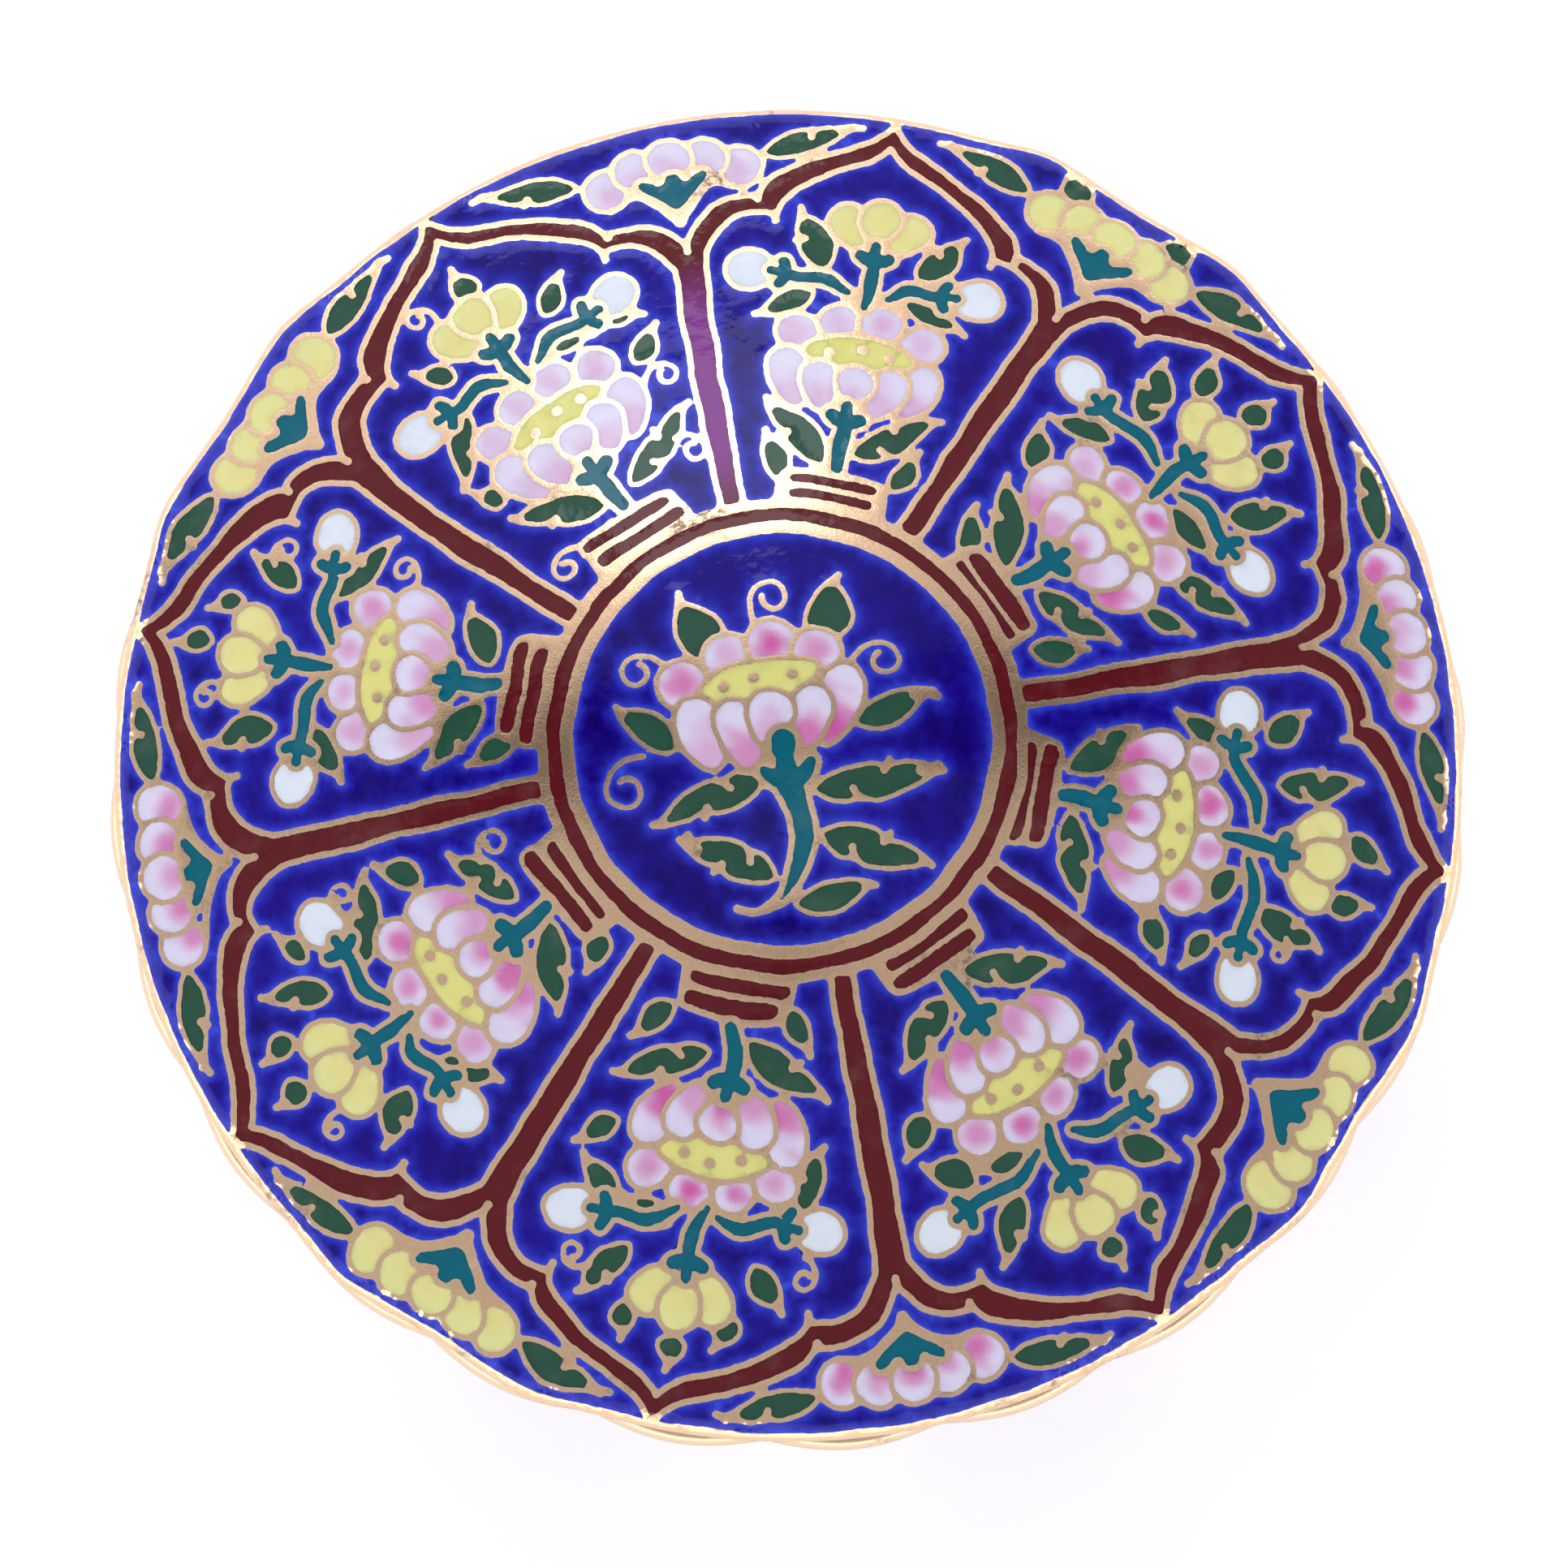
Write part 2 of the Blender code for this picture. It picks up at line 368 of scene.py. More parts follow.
SPOKE_TURNS = (-13.4, 29.4, 78.6, 122.9, 167.7, 214.2, 259.2, 300.3)

lid_ground = Ground(REACH, MAROON)


def polar(turn, radius):
    """Places at clockwise turns from the back, in degrees, and radii."""
    turn = np.radians(turn)
    return np.stack([np.sin(turn) * radius, np.cos(turn) * radius], axis=-1)


def side_line(tip, cusp, fork, first, rest):
    """One side of a petal, between places given as (turn, radius). The shape first is (share of the turn,
    share of the fall) from the tip to the cusp, and the shape rest the same from the cusp to the fork."""
    lines = []
    for start, end, shape in ((tip, cusp, first), (cusp, fork, rest)):
        turn_share, fall_share = np.array(shape).T
        turns = start[0] + (end[0] - start[0]) * turn_share
        lines.append(smooth(polar(turns, start[1] + (end[1] - start[1]) * fall_share)))
    return np.concatenate(lines)


def spoke_line(fork_turn, fork_radius, foot_turn, side):
    """The gold line beside a spoke, from below the fork down to the ring of the medallion."""
    radii = np.array([SPOKE_FOOT, 30.0, fork_radius - 5.0])
    turns = foot_turn + (fork_turn - foot_turn) * (radii - SPOKE_FOOT) / (fork_radius - SPOKE_FOOT)
    return polar(turns + side * np.degrees(np.array(SPOKE_HALF) / radii), radii)[::-1]


OUTER_FIRST = (
    (0.0, 0.0), (0.04, 0.10), (0.08, 0.18), (0.15, 0.27), (0.25, 0.35), (0.35, 0.425), (0.45, 0.486),
    (0.55, 0.545), (0.65, 0.605), (0.75, 0.69), (0.85, 0.767), (0.93, 0.855), (1.0, 1.0),
)
OUTER_REST = (
    (0.0, 0.0), (0.15, 0.0), (0.30, 0.04), (0.45, 0.11), (0.62, 0.25), (0.77, 0.46), (0.88, 0.70),
    (1.0, 1.0),
)
INNER_FIRST = (
    (0.0, 0.0), (0.045, 0.095), (0.09, 0.16), (0.165, 0.244), (0.275, 0.311), (0.385, 0.37), (0.50, 0.45),
    (0.60, 0.526), (0.715, 0.622), (0.825, 0.726), (0.935, 0.85), (1.0, 1.0),
)
INNER_REST = ((0.0, 0.0), (0.12, -0.05), (0.33, -0.03), (0.52, 0.17), (0.66, 0.50), (0.79, 1.0))
SPOKE_HALF = (0.84, 1.08, 1.12)       # from the middle of a spoke to its gold lines' middle, foot first
HOOK = 0.45                           # length of a hook in a fork and in an inner cusp
OUTER_HOOK = 0.35


def hook(ground, start, length):
    """A short gold hook in a cusp, pointing on to the middle with a rounded end."""
    toward = -start / np.hypot(*start)
    path = np.stack([start, start + toward * length / 2, start + toward * length])
    ground.trace(path, (0.26, 0.28, BLOB))


def ogee_frames(ground, tips, tip_radii, forks, fork_radii, feet, cusps):
    """Eight pointed petals side by side, from the rim to the ring of the medallion. The cobalt fields
    inside and outside them are laid, and what is left between is the maroon band."""
    forks = list(forks) + [forks[0] + 360.0]
    feet = list(feet) + [feet[0] + 360.0]
    radii = list(fork_radii) + [fork_radii[0]]
    edges = []
    for k in range(PETALS):
        outer, inner = (tips[k], tip_radii[k]), (tips[k], tip_radii[k] - BAND)
        sides = []
        for side in (0, 1):
            outer_cusp, inner_cusp = cusps[k][2 * side:2 * side + 2]
            outer_fork = (forks[k + side], radii[k + side])
            inner_fork = (forks[k + side], inner_cusp[1] - 3.0)
            sides.append(side_line(outer, outer_cusp, outer_fork, OUTER_FIRST, OUTER_REST))
            sides.append(side_line(inner, inner_cusp, inner_fork, INNER_FIRST, INNER_REST))
        edges.append(sides)
        down = spoke_line(forks[k + 1], radii[k + 1], feet[k + 1], -1)
        up = spoke_line(forks[k], radii[k], feet[k], 1)[::-1]
        ground.field(np.concatenate([sides[3], down, up, sides[1][::-1]]), COBALT, inset=LINE / 2)
    for k in range(PETALS):
        after = tips[k]
        before = tips[k - 1] - (360.0 if k == 0 else 0.0)
        rim = polar(np.linspace(after - 0.4, before + 0.4, 80), LID_EDGE_BLUE)
        ground.field(np.concatenate([edges[k - 1][2], edges[k][0][::-1], rim]), COBALT, inset=LINE / 2)
        hook(ground, polar(forks[k], radii[k] - 0.2), HOOK)
        for turn, radius in cusps[k][0::2]:
            hook(ground, polar(turn, radius - 0.05), OUTER_HOOK)
        for turn, radius in cusps[k][1::2]:
            hook(ground, polar(turn, radius - 0.1), HOOK)
        ground.trace(polar([after, after + 0.2, after], [52.6, 52.0, 51.4]), (0.30, 0.24, 0.24))


ogee_frames(lid_ground, TIP_TURNS, TIP_RADII, FORK_TURNS, FORK_RADII, SPOKE_TURNS, LID_CUSPS)

SPRAY_TURNS = (9.7, 54.0, 101.0, 145.9, 191.1, 235.3, 281.3, 325.3)

# What differs from spray to spray: leaves as (base, tip, width, bites), tendrils as (start, heading,
# side, size), how pink the petals are, and where the lotus and the yellow bud stand.
SPRAY_LEAVES = (
    (
        ((-3.9, 38.6), (-5.9, 41.7), 2.0, 1), ((4.0, 38.9), (5.9, 41.6), 1.7, 1),
        ((-4.6, 35.6), (-7.2, 33.9), 1.1, 0), ((3.4, 36.3), (6.8, 35.1), 1.0, 0),
        ((-4.1, 20.4), (-5.5, 22.7), 1.2, 0), ((4.6, 20.9), (5.6, 23.1), 1.1, 0),
        ((-1.5, 22.3), (-5.2, 25.5), 1.9, 1), ((1.6, 23.2), (5.8, 26.2), 1.8, 2),
    ),
    (
        ((-4.3, 42.7), (-5.6, 44.5), 1.3, 0), ((-0.7, 44.4), (-0.9, 46.1), 1.4, 0),
        ((3.0, 43.4), (2.8, 45.2), 1.2, 0), ((-5.2, 37.9), (-7.5, 40.9), 2.2, 2),
        ((5.2, 38.9), (6.9, 42.3), 1.7, 1), ((-5.4, 34.2), (-8.1, 32.3), 1.2, 0),
        ((-6.9, 28.2), (-8.6, 30.0), 1.3, 0), ((2.6, 35.2), (5.7, 35.4), 1.1, 0),
        ((6.9, 32.4), (11.0, 34.0), 1.5, 2), ((7.8, 28.6), (9.9, 30.0), 1.0, 0),
        ((-4.0, 19.6), (-5.8, 21.6), 1.2, 0), ((5.5, 19.5), (6.8, 21.9), 1.3, 0),
        ((-1.8, 21.9), (-6.0, 24.9), 1.8, 1), ((2.4, 22.4), (7.0, 24.6), 1.7, 2),
    ),
    (
        ((-2.1, 44.0), (-1.1, 46.0), 1.3, 0), ((3.1, 43.2), (2.7, 45.2), 1.2, 0),
        ((-4.9, 38.1), (-6.3, 42.3), 1.9, 2), ((5.1, 38.1), (6.4, 41.9), 1.7, 1),
        ((-8.2, 36.3), (-10.2, 37.8), 1.6, 0), ((-6.6, 32.6), (-7.9, 29.8), 1.2, 0),
        ((2.8, 35.2), (5.0, 34.2), 1.1, 0), ((8.0, 34.2), (9.8, 33.2), 0.9, 0),
        ((7.6, 29.7), (9.6, 30.8), 1.1, 0), ((-2.4, 21.9), (-5.6, 24.9), 1.8, 1),
        ((2.0, 22.4), (6.6, 24.0), 1.8, 2),
    ),
    (
        ((-3.7, 43.9), (-3.1, 45.5), 1.2, 1), ((0.5, 44.7), (0.6, 46.1), 1.4, 0),
        ((-4.7, 39.3), (-6.5, 41.5), 1.7, 0), ((4.9, 38.6), (7.4, 41.1), 1.6, 1),
        ((-6.1, 35.4), (-8.7, 33.0), 1.2, 1), ((2.4, 36.3), (5.2, 35.4), 1.1, 0),
        ((7.1, 35.3), (8.9, 33.2), 1.6, 0), ((7.3, 29.7), (9.3, 30.8), 1.4, 0),
        ((-1.9, 22.4), (-6.6, 24.8), 1.9, 2), ((1.7, 23.3), (5.5, 25.2), 1.8, 2),
    ),
    (
        ((-4.4, 43.8), (-3.6, 45.3), 1.1, 0), ((-0.1, 45.7), (0.0, 47.1), 1.3, 0),
        ((4.3, 44.0), (4.0, 45.5), 1.1, 0), ((-5.3, 39.7), (-7.1, 41.4), 1.5, 0),
        ((5.0, 40.0), (7.0, 42.7), 1.5, 1), ((-7.0, 35.0), (-8.2, 30.9), 1.5, 1),
        ((2.3, 37.3), (4.8, 36.4), 0.9, 0), ((6.8, 36.5), (8.7, 34.5), 1.5, 0),
        ((7.6, 30.8), (9.3, 32.2), 1.1, 0), ((-4.3, 20.5), (-5.7, 22.4), 1.1, 0),
        ((5.0, 21.7), (6.6, 23.6), 1.2, 0), ((-1.8, 23.6), (-6.8, 25.6), 1.8, 1),
        ((2.0, 24.8), (6.7, 26.8), 1.6, 2),
    ),
    (
        ((0.1, 45.2), (0.1, 46.7), 1.4, 0), ((3.9, 44.0), (3.6, 45.7), 1.0, 0),
        ((-5.0, 39.1), (-6.7, 41.5), 1.8, 1), ((5.1, 39.8), (6.9, 42.9), 1.5, 1),
        ((8.4, 39.6), (10.0, 40.1), 0.9, 0), ((-4.9, 35.2), (-7.4, 33.2), 1.3, 0),
        ((5.6, 35.7), (9.7, 33.0), 1.5, 1), ((7.8, 29.3), (9.8, 30.7), 1.3, 0),
        ((-4.5, 20.1), (-5.4, 21.9), 1.1, 0), ((-1.6, 23.2), (-5.8, 25.4), 1.8, 1),
        ((2.5, 24.2), (6.6, 25.9), 1.6, 2),
    ),
    (
        ((0.3, 45.8), (0.0, 47.4), 1.2, 0), ((3.9, 44.1), (3.2, 45.6), 0.9, 0),
        ((-5.7, 39.7), (-7.1, 42.9), 1.8, 1), ((5.6, 40.2), (7.0, 42.8), 1.5, 0),
        ((-5.6, 36.0), (-8.1, 33.9), 1.3, 0), ((5.4, 36.6), (9.2, 33.8), 1.4, 1),
        ((1.9, 23.9), (4.7, 25.6), 1.7, 0), ((-4.3, 21.0), (-5.8, 22.8), 1.2, 0),
        ((-2.2, 23.9), (-6.0, 26.0), 1.8, 1),
    ),
    (
        ((0.1, 43.9), (0.2, 45.8), 1.5, 0), ((-4.7, 39.2), (-6.2, 40.5), 1.2, 0),
        ((4.4, 39.5), (6.2, 40.9), 1.2, 0), ((-5.8, 35.5), (-8.2, 32.0), 1.3, 1),
        ((-7.3, 28.3), (-8.2, 29.5), 1.1, 0), ((3.1, 36.8), (5.2, 36.0), 0.9, 0),
        ((7.7, 36.4), (9.5, 35.3), 0.9, 0), ((7.8, 31.8), (9.7, 33.0), 1.2, 0),
        ((-1.6, 23.5), (-6.2, 25.8), 1.8, 1), ((2.3, 23.7), (7.4, 26.0), 1.6, 2),
    ),
)
SPRAY_CURLS = (
    (), (), (((6.6, 40.2), 50.0, 1, 0.62), ((5.9, 28.3), 100.0, -1, 0.72)),
    (((-7.2, 36.8), -95.0, -1, 0.8),), (((-8.6, 38.0), -70.0, 1, 0.8), ((7.3, 41.4), 55.0, 1, 0.8)),
    (((-2.8, 44.2), 5.0, -1, 0.7), ((9.3, 35.2), 70.0, 1, 0.7), ((5.8, 24.6), 105.0, 1, 0.9)),
    (((-2.7, 44.2), 0.0, -1, 0.8), ((6.9, 41.9), 60.0, 1, 0.8), ((6.7, 30.6), 100.0, -1, 0.8)),
    (
        ((-2.7, 43.9), 0.0, -1, 0.8), ((7.0, 29.7), 45.0, 1, 0.9), ((6.3, 24.6), 100.0, 1, 0.9),
        ((-4.7, 21.6), -60.0, -1, 0.9),
    ),
)
PINKS = (
    (0.35, 0.30, 0.45, 0.35), (0.50, 0.75, 0.95, 0.60), (0.60, 0.95, 0.70, 0.85),
    (0.85, 0.75, 0.90, 0.70), (0.60, 0.85, 1.00, 0.65), (0.60, 0.80, 0.75, 0.90),
    (0.55, 0.50, 0.60, 0.70), (0.30, 0.30, 0.35, 0.40),
)

UPPER_PETALS = (
    ((-3.2, 1.1), (-6.2, 2.7), 2.8), ((-1.3, 2.1), (-2.4, 4.5), 3.1),
    ((1.2, 2.3), (1.8, 5.0), 3.1), ((3.4, 1.5), (6.2, 3.3), 2.9),
)
LOWER_PETALS = (
    ((-3.8, -4.0), (-5.7, 0.5), 3.0), ((4.1, -3.8), (5.9, 0.7), 2.9),
    ((-1.9, -4.2), (-2.9, -0.2), 2.7), ((2.1, -4.1), (3.4, -0.1), 2.7), ((0.2, -3.1), (0.3, -0.3), 2.8),
)
HEART_OUTLINE = (
    (-4.1, 0.5), (-2.9, 1.7), (-1.0, 2.25), (1.0, 2.3), (3.1, 1.9), (4.4, 0.8), (2.7, -0.2), (0.1, -0.5),
    (-2.6, -0.3),
)
HEART_DOTS = ((-2.0, 0.8), (0.4, 1.35), (2.5, 1.0))
BUD_PETALS = (
    ((-1.2, -2.0), (-3.3, 1.3), 2.7), ((1.2, -2.0), (3.3, 1.3), 2.7), ((0.0, -1.3), (0.0, 2.2), 2.9),
)
FLOWERS_AT = (
    (0.0, 30.4), (0.4, 29.6), (0.0, 29.25), (-0.1, 30.2), (-0.6, 31.1), (-0.1, 30.6), (-0.3, 31.05),
    (-0.1, 30.6),
)
BUDS_AT = (
    (0.0, 42.3), (-0.2, 41.4), (0.1, 41.5), (0.5, 41.9), (0.0, 42.7), (-0.3, 42.0), (-0.4, 42.5),
    (-0.4, 41.8),
)

# How far the white buds lie from their usual places, left and then right.
WHITE_BUDS = (
    ((-0.5, -0.2), (-0.4, 0.0)), ((-1.5, -1.8), (0.55, -0.3)), ((-0.75, -3.8), (1.65, -0.4)),
    ((-0.6, 0.4), (2.3, -0.4)), ((-0.6, -1.4), (0.8, 0.1)), ((0.3, -1.1), (0.7, -0.5)),
    ((-0.7, -0.3), (1.1, 0.0)), ((-0.3, -0.5), (0.5, -0.2)),
)

# The two bars at the foot of each spray, upper and lower: across, outward, length, height, how much the
# middle dips, and how much the right end rises.
BARS = (
    ((0.0, 20.45, 6.8, 0.80, 0.05, 0.0), (0.0, 19.2, 6.5, 0.80, 0.0, 0.0)),
    ((0.1, 20.05, 7.2, 1.15, 0.10, 0.0), (0.15, 18.95, 7.3, 0.90, 0.0, -0.05)),
    ((0.15, 19.98, 7.8, 1.10, 0.22, 0.0), (0.4, 18.65, 7.8, 0.88, 0.0, -0.1)),
    ((0.2, 20.3, 7.3, 1.10, 0.08, 0.05), (-0.15, 18.8, 7.5, 1.20, 0.05, 0.1)),
    ((0.4, 21.0, 7.3, 1.20, -0.05, 0.05), (0.0, 19.3, 7.7, 1.15, 0.0, 0.05)),
    ((0.5, 21.15, 7.8, 1.00, 0.15, 0.25), (0.4, 19.65, 7.1, 0.90, 0.10, 0.05)),
    ((0.0, 21.5, 7.3, 1.00, 0.25, 0.0), (-0.4, 20.0, 7.5, 1.15, 0.12, 0.05)),
    ((-0.65, 21.1, 7.7, 0.88, 0.15, -0.15), (-0.25, 19.6, 7.9, 0.98, 0.22, -0.1)),
)


def bar(across, outward, length, height, dip, rise):
    """A lying bone: a rounded bar, a little thinner in the middle, bent round the medallion. Its outline
    is the power 0.45 of a turn's cosine along and of its sine across. For a share s of the way from its
    middle to its end it dips by the cosine of pi s and rises by s."""
    turn = np.linspace(0.0, 2.0 * math.pi, 64, endpoint=False)
    share = np.sign(np.cos(turn)) * np.abs(np.cos(turn)) ** 0.45
    thick = np.sign(np.sin(turn)) * np.abs(np.sin(turn)) ** 0.45 * height / 2
    lift = rise * share - dip * np.cos(math.pi * share) - (share * length / 2) ** 2 / (2.0 * outward)
    thick = thick * (1.12 + 0.08 * share ** 2)
    return np.stack([across + share * length / 2, outward + lift + thick], axis=-1)


def lotus_and_bud(hand, pink, flower_at, bud_at, foot=22.3):
    """A big lotus on its stem, and a yellow bud that stands on top of it."""
    middle = np.array(flower_at)
    upper, lower = (
        [(middle + root, middle + tip, width) for root, tip, width in petals]
        for petals in (UPPER_PETALS, LOWER_PETALS)
    )
    hand.lotus(upper, middle + np.array(HEART_OUTLINE), lower, middle + np.array(HEART_DOTS), pink)
    hand.calyx([(0.1, foot), middle - (0.0, 6.9), middle - (0.0, 4.8)], 0.0, 1.05, (0.46, 0.62, 0.54))
    bud = np.array(bud_at)
    for root, tip, width in BUD_PETALS:
        hand.petal(bud + root, bud + tip, width, YELLOW, pink=0.35, pink_at=0.40)
    hand.calyx([middle + (0.0, 4.8), bud - (0.0, 5.0), bud - (0.0, 2.8)], 0.0, 1.0, (0.30, 0.55, 0.44))


def spray(hand, leaves, curls, pink, flower_at, bud_at, white_buds, bars):
    """From the foot outwards: two maroon bars in a gold box, a stem with its calyx, a lotus, side stems
    with white buds, and a yellow bud on top."""
    for leaf in leaves:
        hand.leaf(*leaf)
    for curl in curls:
        hand.curl(*curl)
    upper, lower = bars
    top = upper[1] + upper[3] / 2
    for side in (-1, 1):
        box = [(4.15, 18.0), (4.1, lower[1]), (3.9, upper[1]), (3.2, top - 0.1), (1.0, top + 0.25)]
        hand.trace([(side * across + upper[0] * 0.6, outward) for across, outward in box], 0.27)
    for each in (lower, upper):
        hand.ground.field(hand.put(bar(*each)), MAROON, 0.34)
    lotus_and_bud(hand, pink, flower_at, bud_at, top + 0.80)
    for side, (more, out) in zip((-1, 1), white_buds):
        root, tip = (side * 7.0 + more, 37.2 + out), (side * 10.6 + more, 37.6 + 0.3 * side + out)
        hand.petal(root, tip, 3.0, WHITE, fat=0.05)
        stem = np.array([(side * 1.5, 36.3), (side * 3.2, 37.4), (side * 5.2, 37.2), (side * 6.2, 37.3)])
        stem += np.array([0.0, 0.4, 0.9, 1.0])[:, None] * (more, out)
        hand.calyx(stem, side * 88.0, 0.88, (0.26, 0.50, 0.46, 0.42))


for k in range(PETALS):
    hand = Hand(lid_ground, SPRAY_TURNS[k], (0.0, 0.12))
    flower_and_buds = PINKS[k], FLOWERS_AT[k], BUDS_AT[k], WHITE_BUDS[k]
    spray(hand, SPRAY_LEAVES[k], SPRAY_CURLS[k], *flower_and_buds, BARS[k])


PETAL_STEP = 3.5                      # degrees from one petal of a border spray to the next


def border_spray(
    hand, enamel, pink, crown=False, out=0.5, sag=0.06, calyx_out=0.2, foot_out=0.0, leaf_out=0.0
):
    """Five petals in a row along the rim, half over one another, a teal calyx inside and a leaf at each
    end. The lengths say how far out the petals, the calyx, its foot and the leaves are, and how much the
    row sags: by the square of the number of petals from the middle."""
    for side in (-1, 1):
        stem = [
            (0.1, 44.0 + foot_out), (0.9, 45.0 + foot_out),
            (2.9, 46.1 + calyx_out), (5.2, 46.3 + out - 4.0 * sag),
        ]
        hand.trace([(side * across, outward) for across, outward in stem], (BLOB, 0.26, 0.28, 0.26))
        base, tip = polar(side * 9.7, 49.3 + leaf_out), polar(side * 15.3, 50.4 + leaf_out * 0.4)
        hand.leaf(base, tip, 1.35, 1, -0.06 * side)
        tail = [polar(side * turn, radius) for turn, radius in ((16.0, 50.5), (17.0, 50.7), (17.8, 50.7))]
        hand.trace(tail, (0.28, 0.24, 0.30))
        if crown:
            hand.leaf(polar(side * 4.6, 49.6), polar(side * 5.8, 51.2), 1.9)
    for place in (-2, 2, -1, 1, 0):
        root = polar(place * PETAL_STEP * 0.84, 46.8 + out - sag * place ** 2)
        tip = polar(place * PETAL_STEP + 0.2, 50.0 + out - 1.2 * sag * place ** 2)
        blush = pink[abs(place)] if enamel == PETAL else 0.35
        hand.petal(root, tip, 3.3, enamel, blush, fat=0.05, pink_at=0.25)
    calyx = [(0.0, 45.2 + foot_out), (1.3, 45.9 + (foot_out + calyx_out) / 2)]
    prongs = ((2.6, 46.7), (2.5, 47.3), (1.7, 47.15), (1.1, 46.75), (0.7, 46.95), (0.4, 47.5))
    calyx += [(across, outward + calyx_out) for across, outward in prongs]
    mirrored = [(-across, outward) for across, outward in calyx[:0:-1]]
    hand.ground.field(hand.put(smooth(calyx + mirrored, closed=True)), TEAL)


# How the border sprays differ: the turn from the fork, and the lengths above.
BORDER_SPRAYS = (
    (0.0, 0.2, 0.30, -0.2, -0.9, -0.8), (0.4, 0.2, 0.15, -0.2, -0.9, -0.4),
    (0.0, 0.55, 0.06, 0.0, 0.1, 0.0), (1.1, 1.05, 0.06, 0.9, 0.0, 0.1), (0.0, 0.35, 0.10, 0.2, 0.0, 0.0),
    (0.0, 1.1, 0.04, 0.7, 0.2, 0.1), (0.0, 0.65, 0.06, 0.0, 0.0, 0.0), (0.0, 0.5, 0.06, 0.4, 0.1, 0.0),
)
for k in range(PETALS):
    more, *lengths = BORDER_SPRAYS[k]
    hand = Hand(lid_ground, FORK_TURNS[k] + more, (0.0, 0.05))
    border_spray(hand, YELLOW if k % 2 else PETAL, PINKS[(k + 7) % PETALS], k == 1, *lengths)


# The medallion: three rings laid one inside the other, then the big lotus on its bent stem.
MEDALLION_RINGS = (15.80, 16.80, 17.86, 18.62)     # the edges of gold, maroon and gold
MEDALLION_MIDDLE = (-0.48, 0.12)                   # its rings aren't quite round the lid's middle
MEDALLION_LEAVES = (
    ((-6.2, 6.4), (-8.1, 9.7), 2.8, 0), ((2.4, 7.8), (3.1, 11.4), 2.7, 0),
    ((5.6, 1.4), (9.6, 3.3), 1.7, 0), ((-9.2, -0.6), (-12.3, 1.5), 1.8, 0),
    ((2.8, -3.9), (9.9, -2.5), 2.2, 2), ((-2.7, -3.6), (-8.6, -6.1), 2.0, 2),
    ((3.3, -7.5), (9.2, -9.0), 2.2, 2), ((-1.8, -10.5), (-6.9, -8.6), 2.1, 2),
    ((1.1, -12.6), (5.1, -11.5), 1.5, 0),
)
MEDALLION_CURLS = (
    ((-2.7, 8.6), -25.0, 1, 1.25), ((4.6, 5.6), 25.0, 1, 1.25), ((-9.3, 5.2), -40.0, -1, 1.15),
    ((-11.0, -1.4), -95.0, -1, 1.45),
)
MEDALLION_TAILS = (
    (((9.6, 3.3), (10.6, 3.4), (11.4, 3.3)), (0.40, 0.32, 0.30)),
    (((9.9, -2.5), (10.8, -2.4), (11.4, -1.9)), (0.36, 0.30, 0.30)),
    (((-6.9, -8.6), (-7.4, -8.2), (-7.7, -7.5)), (0.34, 0.30, 0.30)),
    (((0.2, -11.8), (-1.6, -13.0), (-2.8, -13.4), (-4.0, -13.1)), (0.30, 0.50, 0.30, BLOB)),
)
MEDALLION_LOTUS = (
    (
        ((-6.5, 2.6), (-9.5, 5.3), 3.4), ((-4.2, 4.6), (-5.4, 7.7), 3.4), ((-1.5, 5.2), (-1.3, 8.9), 3.5),
        ((1.3, 4.9), (2.7, 8.2), 3.6),
    ),
    (
        (-6.7, 3.3), (-5.3, 4.9), (-2.6, 5.7), (0.0, 5.9), (2.1, 5.5), (1.1, 4.0), (-1.4, 3.0),
        (-3.4, 2.4), (-5.0, 2.3),
    ),
    (
        ((-5.6, -2.4), (-7.7, 2.9), 3.4), ((2.7, -0.5), (4.5, 5.5), 3.2),
        ((-2.7, -2.4), (-4.7, 2.6), 3.2), ((1.0, -0.9), (1.9, 3.9), 3.1),
        ((-1.7, -0.5), (-1.3, 3.5), 3.2),
    ),
    ((-5.0, 3.8), (-2.7, 4.5), (0.2, 4.8)), (0.85, 0.45, 1.0, 0.7),
)
MEDALLION_STEM = (
    (((-0.5, -0.9), (-0.45, -0.6), (-0.5, -0.4)), 0.92),
    (
        ((-0.4, -1.0), (-0.2, -3.0), (0.6, -5.2), (1.1, -7.6), (0.6, -10.2), (-0.6, -12.3)),
        (0.5, 1.0, 0.72, 0.70, 0.50, 0.12),
    ),
    (((-0.2, -3.3), (-1.4, -3.0), (-2.0, -2.6)), (0.9, 0.62, 0.34)),
    (((-0.2, -3.3), (0.9, -3.0), (1.5, -2.1)), (0.9, 0.66, 0.42)),
)
inner_gold, maroon_in, maroon_out, outer_gold = MEDALLION_RINGS
ring_turns = np.linspace(0.0, 360.0, 200, endpoint=False)
for radius, enamel, line in (
    (maroon_out, MAROON, outer_gold - maroon_out), (inner_gold, COBALT, maroon_in - inner_gold)
):
    lid_ground.field(polar(ring_turns, radius) + np.array(MEDALLION_MIDDLE), enamel, line)

medallion = Hand(lid_ground, 0.0, (0.06, 0.05))
for leaf in MEDALLION_LEAVES:
    medallion.leaf(*leaf)
for curl in MEDALLION_CURLS:
    medallion.curl(*curl)
for tail in MEDALLION_TAILS:
    medallion.trace(*tail)
medallion.lotus(*MEDALLION_LOTUS)
lid_ground.tubes([(medallion.put(smooth(path)), radii) for path, radii in MEDALLION_STEM], TEAL)
lid_ground.gild(LID_EDGE_BLUE, 31)

